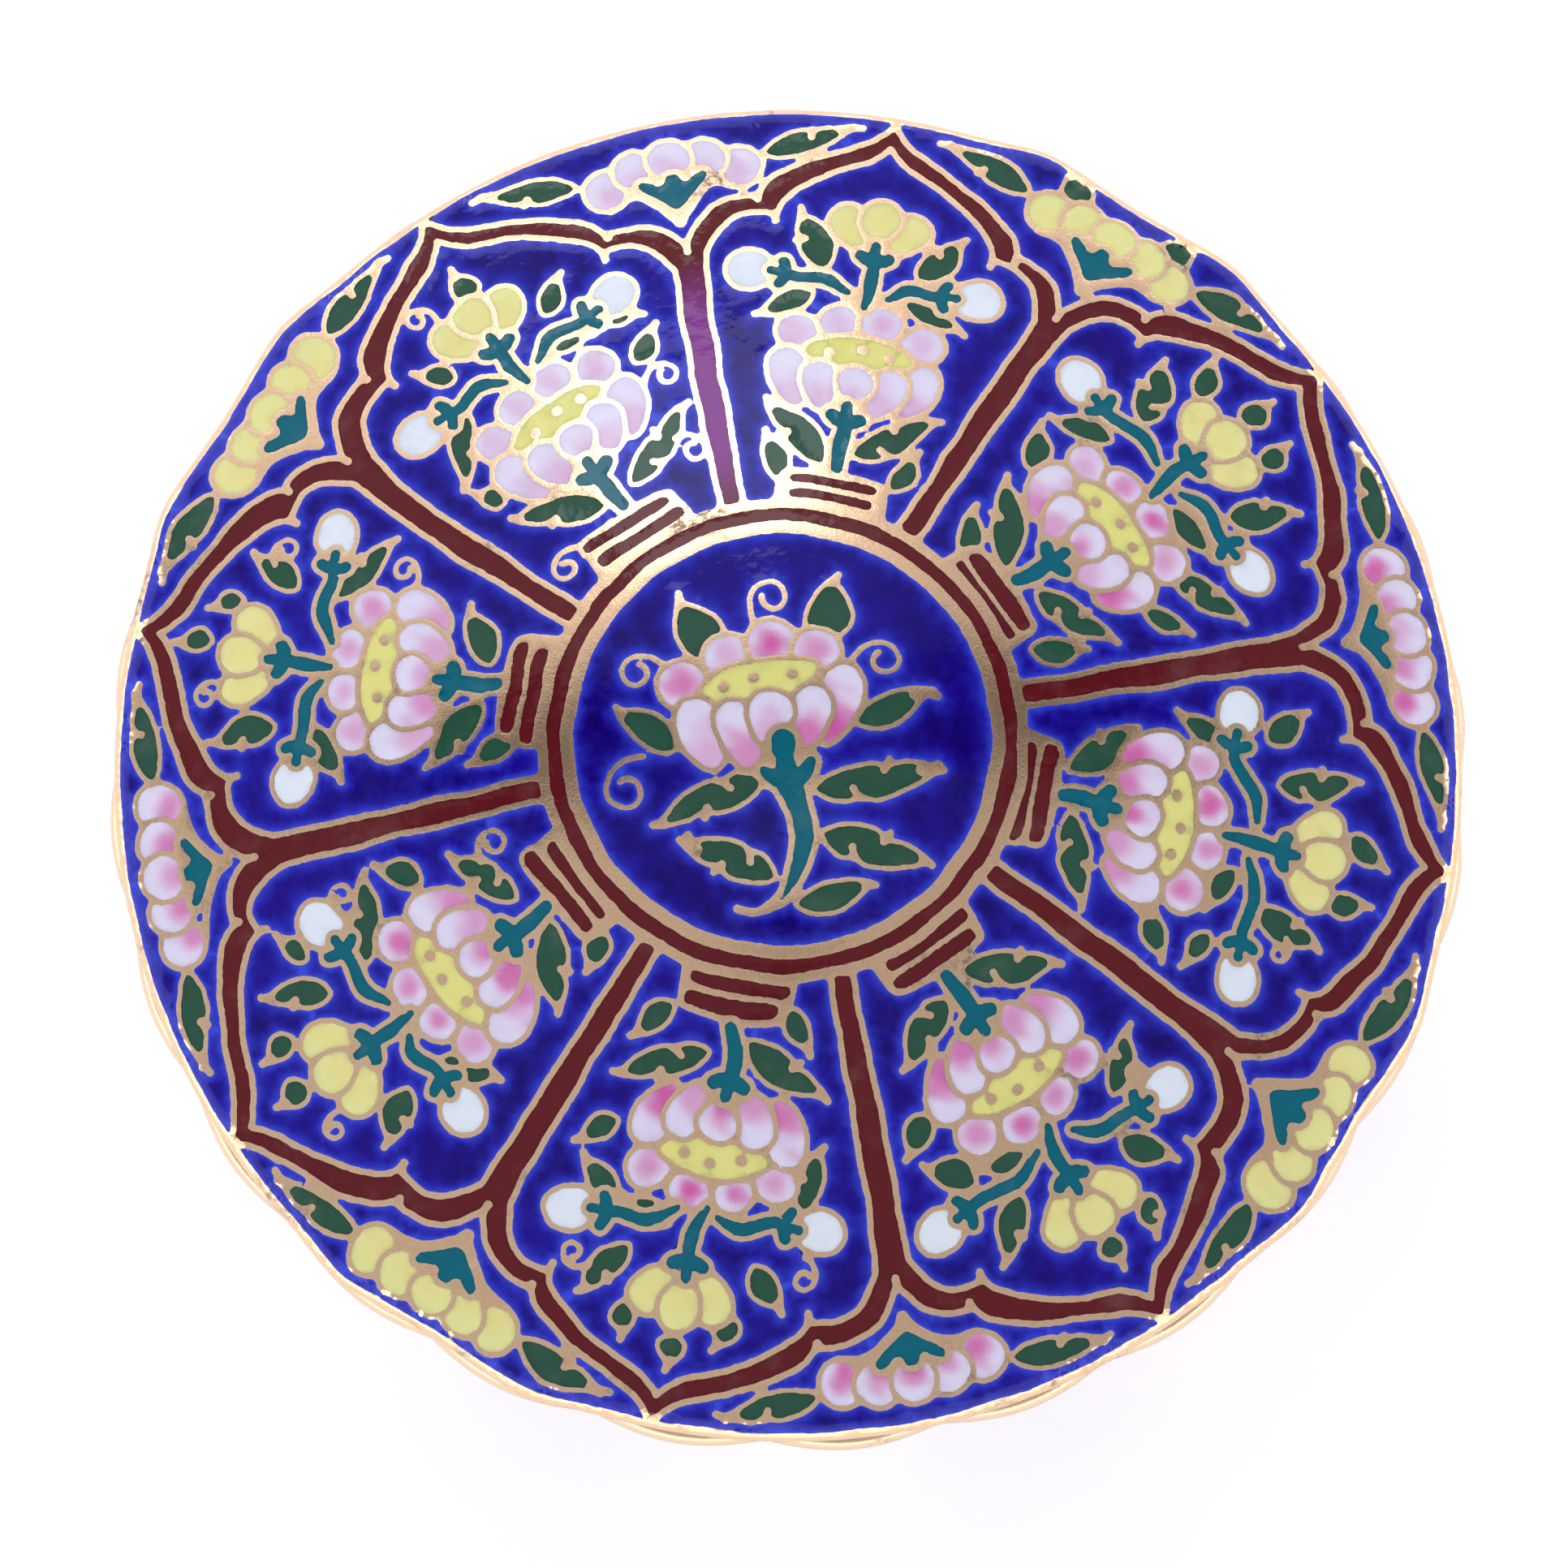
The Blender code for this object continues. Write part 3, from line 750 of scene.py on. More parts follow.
# In one spoke at the back, from about 18 to 39.5 out from the middle, the maroon is blended towards
# purple.
spoke = math.radians(-13.0)
lid_x, lid_y = lid_ground.side[None, :], lid_ground.side[:, None]
along = lid_x * math.sin(spoke) + lid_y * math.cos(spoke)
across = lid_x * math.cos(spoke) - lid_y * math.sin(spoke)
purple = np.clip((along - 18.0) / 5.0, 0.0, 1.0) * np.clip((39.5 - along) / 5.0, 0.0, 1.0)
purple = 0.9 * purple * (np.abs(across) < 2.5)
in_maroon = lid_ground.enamel == MAROON
lid_ground.blush[in_maroon] = purple[in_maroon]


# The lid: porcelain, thrown as a low dome with a scalloped edge, hollow underneath, with a flange that
# drops into the mouth of the base. White glaze inside, the decoration outside, gold over the edge.

LID_RADIUS = 52.0
SEAT = 38.3
LID_EDGE = 2.2
EDGE_ROUND = 0.42 * LID_EDGE
DOME_RISE = 14.6
DOME_FLARE = 0.30
LID_WALL = 3.0
FLANGE_RADIUS = 45.8
FLANGE_WALL = 2.0
FLANGE_DROP = 4.0
FLANGE_LIFT = 0.08                    # from the solid's foot of the flange to the one that is shown
BRACKET_TURN = 58.0                   # degrees counter-clockwise from +X to the first dip of the edge
SWELL_HEIGHT, NOTCH_DEPTH = 0.55, 0.27
SWELL_PLACE, SWELL_WIDTH = math.radians(9.4), math.radians(3.8)
WAVE_REACH = 5.0                      # how far the waves of the edge run in
SKIN_DROP = 0.10                      # the painted glaze lies this far under the solid's own skin
SKIN = 0.06                           # and the white one this far,
LEVEL_SKIN = 0.05                     # or this far on a level face and under the dome
SIDES = 720                           # corners round the edge
FINE_FROM = 50.0                      # rings of a smaller radius than this have a third as many
NODE = 2                              # every second cell is a node of the grid that finds the gold's edge


def gold_edge(ground, snap=0.17):
    """Corners and short edges along the gold's edge. Where the distance changes sign between two
    neighbouring nodes of a coarser grid, a corner is set between them in proportion, or on a node that is
    within the share snap. In each square of four nodes the corners on its sides are joined in pairs."""
    field = ground.gold[::NODE, ::NODE]
    side = ground.side[::NODE]
    rows, columns = field.shape
    number = np.arange(rows * columns).reshape(rows, columns)
    inside = field < 0.0

    def crossings(one, other, ids, other_ids, kind):
        """Whether each pair of nodes is crossed, the name of its corner, and the share of the way to
        it."""
        share = one / np.where(one == other, 1.0, one - other)
        name = ids + kind * number.size
        name = np.where(share < snap, ids, np.where(share > 1.0 - snap, other_ids, name))
        return (one < 0.0) != (other < 0.0), name, share

    flat = crossings(field[:, :-1], field[:, 1:], number[:, :-1], number[:, 1:], 1)
    upright = crossings(field[:-1], field[1:], number[:-1], number[1:], 2)
    sides = ((flat, np.s_[:-1]), (upright, np.s_[:, 1:]), (flat, np.s_[1:]), (upright, np.s_[:, :-1]))
    crossed = np.stack([part[0][cut] for part, cut in sides], axis=-1)
    names = np.stack([part[1][cut] for part, cut in sides], axis=-1)
    count = crossed.sum(axis=-1)
    order = np.argsort(~crossed, axis=-1, kind="stable")
    pairs = np.take_along_axis(names, order, axis=-1)
    twice = pairs[count == 2][:, :2]
    middle = (field[:-1, :-1] + field[:-1, 1:] + field[1:, :-1] + field[1:, 1:])[count == 4] < 0.0
    same = middle == inside[:-1, :-1][count == 4]
    saddle = names[count == 4]
    one = np.where(same[:, None], saddle[:, [0, 1]], saddle[:, [0, 3]])
    other = np.where(same[:, None], saddle[:, [2, 3]], saddle[:, [1, 2]])
    edges = np.concatenate([twice, one, other])
    edges = np.unique(np.sort(edges[edges[:, 0] != edges[:, 1]], axis=1), axis=0)
    used, edges = np.unique(edges, return_inverse=True)
    edges = edges.reshape(-1, 2)
    kind, node = used // number.size, used % number.size
    row, column = node // columns, node % columns
    share_flat = flat[2][row, np.minimum(column, columns - 2)]
    share_up = upright[2][np.minimum(row, rows - 2), column]
    x = side[column] + np.where(kind == 1, share_flat, 0.0) * CELL * NODE
    y = side[row] + np.where(kind == 2, share_up, 0.0) * CELL * NODE
    return np.stack([x, y], axis=-1), edges


def honeycomb(reach, spacing):
    """Points of a triangular net over a square."""
    rows = np.arange(-reach, reach, spacing * math.sqrt(3.0) / 2)
    columns = np.arange(-reach, reach, spacing)
    x = columns[None, :] + (np.arange(len(rows)) % 2)[:, None] * spacing / 2
    return np.stack([x.ravel(), np.broadcast_to(rows[:, None], x.shape).ravel()], axis=-1)


def spacing_at(depth, cobalt, slope):
    """How far apart the points of the mesh are at a depth from the gold's edge, and 0 where there are
    none: beside the edge, which has corners of its own, and where the slope is steep between two
    edges."""
    beside = depth <= np.where(cobalt, 0.32, 0.22)
    cases = (
        (depth < -0.24, 0.46), (depth <= 0.10, 0.0), (beside & (slope < 0.80), 0.28), (beside, 0.0),
        (cobalt & (depth > 1.25), 1.00), (cobalt, 0.50), (~cobalt, 0.42),
    )
    return np.select([case for case, spacing in cases], [spacing for case, spacing in cases])


def ring_of(count, radius, height=0.0):
    """Corners evenly round a circle."""
    turns = np.arange(count) * 2.0 * math.pi / count
    level = np.full(count, float(height))
    return np.stack([np.cos(turns) * radius, np.sin(turns) * radius, level], axis=-1)


def cut_out(ground, outer, inner=0.0):
    """Triangles of the ground between two circles, whose edges follow the edge of the gold. The net is
    fine in the gold and the small fields, and wide in the open cobalt."""
    corners, edges = gold_edge(ground)
    radius = np.hypot(*corners.T)
    keep = (radius < outer - 0.12) & (radius > inner + 0.12)
    kept = np.cumsum(keep) - 1
    edges = kept[edges[keep[edges].all(axis=1)]]
    rims = [ring_of(SIDES, radius)[:, :2] for radius in (outer, inner) if radius]
    steep = np.hypot(*np.gradient(ground.gold[::NODE, ::NODE], CELL * NODE))
    steep = np.repeat(np.repeat(steep, NODE, 0), NODE, 1)[:len(ground.side), :len(ground.side)]
    points = [corners[keep], *rims]
    ring = np.stack([np.arange(SIDES), (np.arange(SIDES) + 1) % SIDES], axis=-1)
    edges = np.concatenate([edges] + [ring + keep.sum() + k * SIDES for k in range(len(rims))])
    for spacing in (1.00, 0.50, 0.28, 0.42, 0.46):
        net = honeycomb(ground.reach - 1.0, spacing)
        away = np.hypot(*net.T)
        net = net[(away < outer - 0.3) & (away > inner + (0.3 if inner else 0.0))]
        depth, cobalt = ground.read(ground.gold, net), ground.read(ground.enamel, net) == COBALT
        points.append(net[spacing_at(depth, cobalt, ground.read(steep, net)) == spacing])
    points = np.concatenate(points)
    flat, _, faces, _, _, _ = delaunay_2d_cdt(points.tolist(), edges.tolist(), [], 0, 1e-5, False)
    flat, faces = np.array(flat)[:, :2], np.array(faces)
    a, b, c = (flat[faces[:, k]] for k in range(3))
    area = (b[:, 0] - a[:, 0]) * (c[:, 1] - a[:, 1]) - (b[:, 1] - a[:, 1]) * (c[:, 0] - a[:, 0])
    faces[area < 0] = faces[area < 0][:, ::-1]
    centre = (a + b + c) / 3
    keep = (np.abs(area) > 1e-7) & (np.hypot(*centre.T) > inner)
    return flat, faces[keep]


def strip(one, other):
    """Triangles between two rings of corners. The second ring has as many, a third as many, or one."""
    after, below = np.roll(one, -1), np.roll(other, -1)
    if len(other) == len(one):
        threes = (one, other, below), (one, below, after)
    elif len(other) == 1:
        threes = ((one, np.broadcast_to(other, len(one)), after),)
    else:
        a, b, c, d = one[0::3], one[1::3], one[2::3], after[2::3]
        threes = (a, other, b), (b, other, below), (b, below, c), (c, below, d)
    return np.concatenate([np.stack(three, -1) for three in threes])


class Shell:
    """Corners, triangles and the glaze on each triangle, gathered part by part into one closed skin."""

    def __init__(self):
        self.corners, self.faces, self.glaze, self.count = [], [], [], 0

    def add(self, corners):
        """Add corners and return their numbers."""
        self.corners.append(corners)
        self.count += len(corners)
        return np.arange(self.count - len(corners), self.count)

    def join(self, faces, glaze):
        """Add triangles, with one glaze or one for each."""
        self.faces.append(faces)
        self.glaze.append(np.broadcast_to(np.asarray(glaze), len(faces)))

    def lathe(self, one, profile, turned_over=False):
        """Carry a ring on along a profile of (radius, height, glaze of the step to it). It goes on with a
        third of the corners where the radius falls under FINE_FROM, and ends in one corner where it is
        nothing."""
        for radius, height, glaze in profile:
            count = 1 if radius == 0.0 else SIDES // 3 if radius < FINE_FROM else SIDES
            other = self.add(ring_of(count, radius, height))
            faces = strip(one, other)
            self.join(faces[:, ::-1] if turned_over else faces, glaze)
            one = other


def dome(radius):
    """Height of the lid's outside above its edge: a crown, 1 less the square of the share of the radius,
    blended with half of 1 plus the cosine of pi times that share, which runs out flat."""
    share = radius / LID_RADIUS
    crown, flared = 1.0 - share ** 2, (1.0 + np.cos(math.pi * share)) / 2.0
    return DOME_RISE * ((1.0 - DOME_FLARE) * crown + DOME_FLARE * flared)


# The rounded edge is a quadratic Bezier curve, which leaves the dome along its slope and ends upright,
# half way down the edge. On the ground it is laid out along its arc.
on_curve = np.linspace(0.0, 1.0, 60)
before, after = 1.0 - on_curve, on_curve
round_radius = LID_RADIUS - EDGE_ROUND * before ** 2
round_height = before ** 2 * (SEAT + LID_EDGE) + after ** 2 * (SEAT + LID_EDGE / 2)
round_height += 2.0 * after * before * (SEAT + LID_EDGE - 0.393 * EDGE_ROUND)
round_arc = np.cumsum(np.hypot(np.diff(round_radius), np.diff(round_height)))
round_run = LID_RADIUS - EDGE_ROUND + np.append(0.0, round_arc)
LID_RUN = round_run[-1] - 0.02        # length of the ground from the lid's middle to its edge


def lid_profile(run):
    """Radius and height of the lid's outside, a length of ground away from its middle."""
    on_dome = run < round_run[0]
    radius = np.where(on_dome, run, np.interp(run, round_run, round_radius))
    height = np.where(on_dome, SEAT + LID_EDGE + dome(run), np.interp(run, round_run, round_height))
    return radius, height


def lid_wave(angle):
    """A dip with a swell on each side of it, four times round. Each is e to the minus square of the share
    of its width."""
    place = (angle + math.pi / 4) % (math.pi / 2) - math.pi / 4
    swells = sum(np.exp(-(((place - side * SWELL_PLACE) / SWELL_WIDTH) ** 2)) for side in (-1, 1))
    return SWELL_HEIGHT * swells - NOTCH_DEPTH * np.exp(-((place / SWELL_WIDTH) ** 2))


def scallop(corners, inner, outer, wave):
    """Push the rim in and out by the wave, fading to nothing at the inner radius by 3 t^2 - 2 t^3."""
    radius = np.hypot(corners[:, 0], corners[:, 1])
    reach = np.clip((radius - inner) / (outer - inner), 0.0, 1.0)
    angle = np.arctan2(corners[:, 1], corners[:, 0]) - math.radians(BRACKET_TURN)
    grow = 1.0 + reach * reach * (3.0 - 2.0 * reach) * wave(angle) / np.maximum(radius, 0.001)
    corners[:, :2] *= grow[:, None]


GOLD, BLUE, COLOURED, PORCELAIN, BISCUIT = range(5)      # the materials' places on both pieces
ON_EDGE = 0.075                       # a corner with less than this to the gold's edge lies on it


def relief(gold):
    """Height of the skin at a distance from the gold's edge. Gold is a low bead, 0.014 times the root of
    the share of 0.28 that it goes in. Glaze climbs up its sides, and sinks by up to 0.042 away from it,
    by 1 less the power of e."""
    bead = 0.014 * np.sqrt(np.clip(-gold / 0.28, 0.0, 1.0))
    return np.where(gold < 0.0, bead, -0.042 * (1.0 - np.exp(-gold / 0.45)))


def painted(ground, shell, flat, faces, surface, turned_over=False):
    """Put the cut out ground onto a surface, and choose each triangle's material by what lies at its
    middle, or beside the gold's edge by its corners. The surface gives a place and the direction away
    from the porcelain for each point of the plane. Returned are each corner's distance to the gold's
    edge, and each triangle's enamel and the blush at its corners."""
    gold = ground.read(ground.gold, flat)
    gold = np.where(np.abs(gold) < ON_EDGE, 0.0, gold)
    place, away = surface(flat)
    shell.add(place + away * relief(gold)[:, None])
    middle = flat[faces].mean(axis=1)
    depth = ground.read(ground.gold, middle)
    around = gold[faces].sum(axis=1)
    depth = np.where((np.abs(depth) < 0.08) & (around != 0.0), around, depth)
    enamel = ground.read(ground.enamel, middle)
    glaze = np.where(depth < 0.0, GOLD, np.where(enamel == COBALT, BLUE, COLOURED))
    shell.join(faces[:, ::-1] if turned_over else faces, glaze)
    near = flat[faces] * 0.8 + middle[:, None] * 0.2
    blush = ground.read(ground.blush, near.reshape(-1, 2)).reshape(-1, 3)
    return gold, enamel, blush[:, ::-1] if turned_over else blush


def ring_on(flat, radius):
    """The numbers of the points on a circle, in order of their angle from +X."""
    found = np.flatnonzero(np.abs(np.hypot(*flat.T) - radius) < 0.004)
    angle = (np.arctan2(flat[found, 1], flat[found, 0]) + 0.001) % (2.0 * math.pi)
    return found[np.argsort(angle)]


TINTS = np.array([                    # linear colours of the enamels, in the order of their numbers
    (0.005, 0.000, 0.300), (0.105, 0.008, 0.013), (0.020, 0.078, 0.050), (0.000, 0.115, 0.175),
    (0.700, 0.760, 0.880), (0.690, 0.650, 0.850), (0.720, 0.710, 0.310), (0.700, 0.680, 0.230),
])
BLUSH_TINTS = TINTS.copy()            # what each turns into where it is blushed
BLUSH_TINTS[MAROON] = (0.210, 0.030, 0.270)
BLUSH_TINTS[PETAL] = (0.580, 0.100, 0.360)
BLUSH_TINTS[YELLOW] = (0.740, 0.600, 0.200)


def solid_piece(name, shell, gold, enamel, blush, materials):
    """A mesh of the shell. The painted part comes first in it. Its corners carry the tint of their
    enamel, and its points the film: their distance from the gold."""
    corners = np.concatenate(shell.corners) / 1000.0
    faces = np.concatenate(shell.faces)
    glaze = np.concatenate(shell.glaze)
    mesh = bpy.data.meshes.new(name)
    mesh.vertices.add(len(corners))
    mesh.vertices.foreach_set("co", corners.astype(np.float32).ravel())
    mesh.loops.add(faces.size)
    mesh.loops.foreach_set("vertex_index", faces.astype(np.int32).ravel())
    mesh.polygons.add(len(faces))
    mesh.polygons.foreach_set("loop_start", np.arange(0, faces.size, 3, dtype=np.int32))
    mesh.polygons.foreach_set("material_index", glaze.astype(np.int32))
    tint = np.ones((len(faces), 3, 4), np.float32)
    tint[:, :, :3] = TINTS[WHITE]
    pure = TINTS[enamel][:, None, :]
    tint[:len(enamel), :, :3] = pure + (BLUSH_TINTS[enamel][:, None, :] - pure) * blush[:, :, None]
    mesh.attributes.new("tint", "FLOAT_COLOR", "CORNER").data.foreach_set("color", tint.ravel())
    film = np.full(len(corners), FILM, np.float32)
    film[:len(gold)] = gold
    mesh.attributes.new("film", "FLOAT", "POINT").data.foreach_set("value", film)
    for material in materials:
        mesh.materials.append(material)
    mesh.update(calc_edges=True)
    mesh.validate()
    mesh.shade_smooth()
    mesh.set_sharp_from_angle(angle=math.radians(38.0))
    piece = bpy.data.objects.new(name, mesh)
    bpy.context.scene.collection.objects.link(piece)
    return piece


def lid_surface(flat):
    """Places on the lid for points of its ground. The direction away from it is square to its profile."""
    run = np.hypot(*flat.T)
    radius, height = lid_profile(run)
    before, after = lid_profile(np.maximum(run - 0.02, 0.0)), lid_profile(run + 0.02)
    wide, fall = after[0] - before[0], before[1] - after[1]
    length = np.hypot(wide, fall)
    ray = flat / np.maximum(run, 0.01)[:, None]
    away = np.concatenate([ray * (fall / length)[:, None], (wide / length)[:, None]], axis=-1)
    return np.concatenate([ray * radius[:, None], height[:, None]], axis=-1) - away * SKIN_DROP, away


lid_shell = Shell()
lid_flat, lid_faces = cut_out(lid_ground, LID_RUN)
lid_paint = painted(lid_ground, lid_shell, lid_flat, lid_faces, lid_surface)
inside_radii = np.array((43.4, 42.0, 39.5, 36.5, 33.0, 29.0, 25.0, 21.0, 17.0, 13.0, 9.0, 5.0, 0.0))
inside_heights = SEAT + LID_EDGE + dome(inside_radii) - LID_WALL + LEVEL_SKIN
flange_out, flange_in = FLANGE_RADIUS - SKIN, FLANGE_RADIUS - FLANGE_WALL + SKIN
seat, flange_foot = SEAT + SKIN, SEAT - FLANGE_DROP + FLANGE_LIFT
lid_shell.lathe(
    ring_on(lid_flat, LID_RUN),
    [
        (LID_RADIUS - 0.18, seat + 0.59, GOLD), (LID_RADIUS - 0.45, seat + 0.26, GOLD),
        (LID_RADIUS - 0.90, seat + 0.06, GOLD), (LID_RADIUS - 1.50, seat, PORCELAIN),
        (LID_RADIUS - 3.80, seat, PORCELAIN), (flange_out + 0.21, seat, PORCELAIN),
        (flange_out, seat - 0.16, PORCELAIN), (flange_out, flange_foot + 0.24, PORCELAIN),
        (flange_out - 0.19, flange_foot, PORCELAIN), (flange_in + 0.19, flange_foot, BISCUIT),
        (flange_in, flange_foot + 0.24, PORCELAIN), (flange_in, seat + 1.94, PORCELAIN),
    ]
    + [(radius, height, PORCELAIN) for radius, height in zip(inside_radii, inside_heights)],
)
for corners in lid_shell.corners:
    scallop(corners, LID_RADIUS - WAVE_REACH, LID_RADIUS, lid_wave)


# The coats on both pieces. Gold is a matt lustre over the raised lines, worn and brown in places. The
# glazes are glass: they lie thicker away from the lines, which is why cobalt is pale beside the gold and
# deep in the open.

def set_inputs(tree, node, values):
    """Give each of a node's inputs a value, or link it if it is given a socket."""
    for name, value in dict(values).items():
        if isinstance(value, bpy.types.NodeSocket):
            tree.links.new(value, node.inputs[name])
        else:
            node.inputs[name].default_value = value


def wire(tree, kind, inputs=(), **settings):
    """A new node of the kind, with its settings and its inputs."""
    node = tree.nodes.new(kind)
    for name, value in settings.items():
        setattr(node, name, value)
    set_inputs(tree, node, inputs)
    return node


def object_place(tree):
    """The place on the piece, in metres."""
    return tree.nodes.new("ShaderNodeTexCoord").outputs["Object"]


def grain(tree, place, scale, detail=3.0, roughness=0.55):
    """Noise of about 0 to 1, whose patches are about 1 / scale metres wide."""
    inputs = {"Vector": place, "Scale": scale, "Detail": detail, "Roughness": roughness}
    return wire(tree, "ShaderNodeTexNoise", inputs).outputs["Fac"]


def between(tree, value, low, high, start=0.0, end=1.0):
    """A value turned from a range into another, smoothly, and held at its ends."""
    inputs = {"Value": value, "From Min": low, "From Max": high, "To Min": start, "To Max": end}
    return wire(tree, "ShaderNodeMapRange", inputs, interpolation_type="SMOOTHSTEP").outputs["Result"]


def blend(tree, share, one, other, how="MIX"):
    """Two colours blended by a share, or as the named way of blending says."""
    node = wire(tree, "ShaderNodeMix", {0: share, 6: one, 7: other}, data_type="RGBA", blend_type=how)
    return node.outputs[2]


def reckon(tree, operation, one, other=0.0):
    """The result of a sum with one or two values."""
    return wire(tree, "ShaderNodeMath", {0: one, 1: other}, operation=operation).outputs[0]


def times(tree, one, other):
    """One value times the other."""
    return reckon(tree, "MULTIPLY", one, other)


def new_group(name, inputs, outputs):
    """An empty node group with the given sockets, and its inside ends."""
    group = bpy.data.node_groups.new(name, "ShaderNodeTree")
    for label, kind, value in inputs:
        socket = group.interface.new_socket(label, in_out="INPUT", socket_type=kind)
        socket.default_value = value
    for label, kind in outputs:
        group.interface.new_socket(label, in_out="OUTPUT", socket_type=kind)
    return group, group.nodes.new("NodeGroupInput"), group.nodes.new("NodeGroupOutput")


# The skin that all glazes share: a faint orange peel, pinholes where gas left the melt, a cloudy
# thickness.
skin, skin_in, skin_out = new_group(
    "glaze_skin",
    (("Peel", "NodeSocketFloat", 0.10), ("Pinholes", "NodeSocketFloat", 0.55)),
    (("Cloud", "NodeSocketFloat"), ("Hole", "NodeSocketFloat"), ("Normal", "NodeSocketVector")),
)
place = object_place(skin)
cloud = grain(skin, place, 260.0, 4.0, 0.6)
dot_inputs = {"Vector": place, "Scale": 720.0, "Randomness": 1.0}
dots = wire(skin, "ShaderNodeTexVoronoi", dot_inputs).outputs["Distance"]
rare = between(skin, grain(skin, place, 190.0, 1.0), skin_in.outputs["Pinholes"], 0.80)
hole = times(skin, between(skin, dots, 0.05, 0.13, 1.0, 0.0), rare)
fine_swell = times(skin, grain(skin, place, 1500.0, 2.0), 0.25)
swell = reckon(skin, "ADD", grain(skin, place, 420.0, 2.0), fine_swell)
swell = reckon(skin, "SUBTRACT", swell, times(skin, hole, 1.5))
bump_inputs = {"Strength": skin_in.outputs["Peel"], "Distance": 0.0004, "Height": swell}
bump = wire(skin, "ShaderNodeBump", bump_inputs)
for name, socket in (("Cloud", cloud), ("Hole", hole), ("Normal", bump.outputs["Normal"])):
    skin.links.new(socket, skin_out.inputs[name])

# How near the gold is: 1 beside it and 1 / e a reach away, with a ragged front. Wide reaches further.
near, near_in, near_out = new_group(
    "nearness_to_gold",
    (("Reach", "NodeSocketFloat", 0.5), ("Ragged", "NodeSocketFloat", 0.5)),
    (("Near", "NodeSocketFloat"), ("Wide", "NodeSocketFloat"), ("Film", "NodeSocketFloat")),
)
film = wire(near, "ShaderNodeAttribute", attribute_name="film").outputs["Fac"]
place = object_place(near)
waver = between(near, grain(near, place, 700.0, 3.0), 0.3, 0.7, -1.0, 1.0)
stretch = reckon(near, "ADD", times(near, waver, near_in.outputs["Ragged"]), 1.0)
reach = times(near, near_in.outputs["Reach"], stretch)
share = reckon(near, "DIVIDE", reckon(near, "MAXIMUM", film, 0.0), reach)
nearness = reckon(near, "POWER", 0.3679, share)
wide_nearness = reckon(near, "POWER", 0.3679, times(near, share, 0.28))
for name, socket in (("Near", nearness), ("Wide", wide_nearness), ("Film", film)):
    near.links.new(socket, near_out.inputs[name])


def coat(name):
    """A new material and its Principled shader."""
    material = bpy.data.materials.new(name)
    material.use_nodes = True
    return material, material.node_tree, material.node_tree.nodes["Principled BSDF"]


def glaze_parts(tree, peel, reach=0.5, ragged=0.5, pinholes=0.62):
    """The outputs of the two groups in one material."""
    outputs = {}
    skin_values, near_values = {"Peel": peel, "Pinholes": pinholes}, {"Reach": reach, "Ragged": ragged}
    for group, values in ((skin, skin_values), (near, near_values)):
        node = wire(tree, "ShaderNodeGroup", node_tree=group)
        set_inputs(tree, node, values)
        outputs.update({output.name: output for output in node.outputs})
    return outputs


gold_coat, tree, shader = coat("raised_gold")
place = object_place(tree)
film = wire(tree, "ShaderNodeAttribute", attribute_name="film").outputs["Fac"]
patch = between(tree, grain(tree, place, 95.0, 5.0, 0.65), 0.58, 0.69)
speckle = between(tree, grain(tree, place, 1900.0, 3.0, 0.7), 0.38, 0.62)
worn = times(tree, patch, speckle)
fine = between(tree, grain(tree, place, 5200.0, 3.0, 0.7), 0.25, 0.75)
body = blend(tree, fine, (0.76, 0.50, 0.32, 1.0), (0.88, 0.62, 0.42, 1.0))
warm = between(tree, grain(tree, place, 300.0, 3.0), 0.35, 0.7, 0.0, 0.5)
body = blend(tree, warm, body, (0.80, 0.53, 0.33, 1.0))
body = blend(tree, times(tree, worn, 0.85), body, (0.09, 0.08, 0.065, 1.0))
# Painted highlight: the gold is made lighter along both edges of each line, where the raised bead would
# catch the light.
painted_edge_highlight = between(tree, film, -0.16, 0.02)
body = blend(tree, times(tree, painted_edge_highlight, 0.25), body, (0.92, 0.70, 0.50, 1.0))
height = reckon(tree, "ADD", times(tree, fine, 0.4), grain(tree, place, 1300.0, 3.0))
bump = wire(tree, "ShaderNodeBump", {"Strength": 0.09, "Distance": 0.00012, "Height": height})
set_inputs(tree, shader, {
    "Base Color": body, "Metallic": 0.86, "Normal": bump.outputs["Normal"],
    "Roughness": between(tree, worn, 0.0, 1.0, 0.17, 0.40),
})

blue_coat, tree, shader = coat("cobalt_glaze")
parts = glaze_parts(tree, 0.08, 0.28, 0.45)
place = object_place(tree)
pool = between(tree, grain(tree, place, 120.0, 2.0, 0.5), 0.38, 0.62)
deep = blend(tree, pool, (0.0080, 0.0008, 0.170, 1.0), (0.0060, 0.0004, 0.100, 1.0))
body = blend(tree, times(tree, parts["Wide"], 0.62), deep, (0.015, 0.008, 0.500, 1.0))
body = blend(tree, times(tree, parts["Near"], 0.56), body, (0.055, 0.105, 0.850, 1.0))
body = blend(tree, parts["Hole"], body, (0.010, 0.008, 0.030, 1.0))
# Painted shade: in patches the cobalt turns almost black right at the foot of the raised gold line.
beside = between(tree, parts["Film"], 0.02, 0.10, 1.0, 0.0)
painted_foot_shade = times(tree, beside, between(tree, parts["Cloud"], 0.62, 0.70))
body = blend(tree, painted_foot_shade, body, (0.006, 0.005, 0.012, 1.0))
set_inputs(tree, shader, {
    "Base Color": body, "Roughness": 0.06, "Normal": parts["Normal"], "Specular IOR Level": 0.17,
})

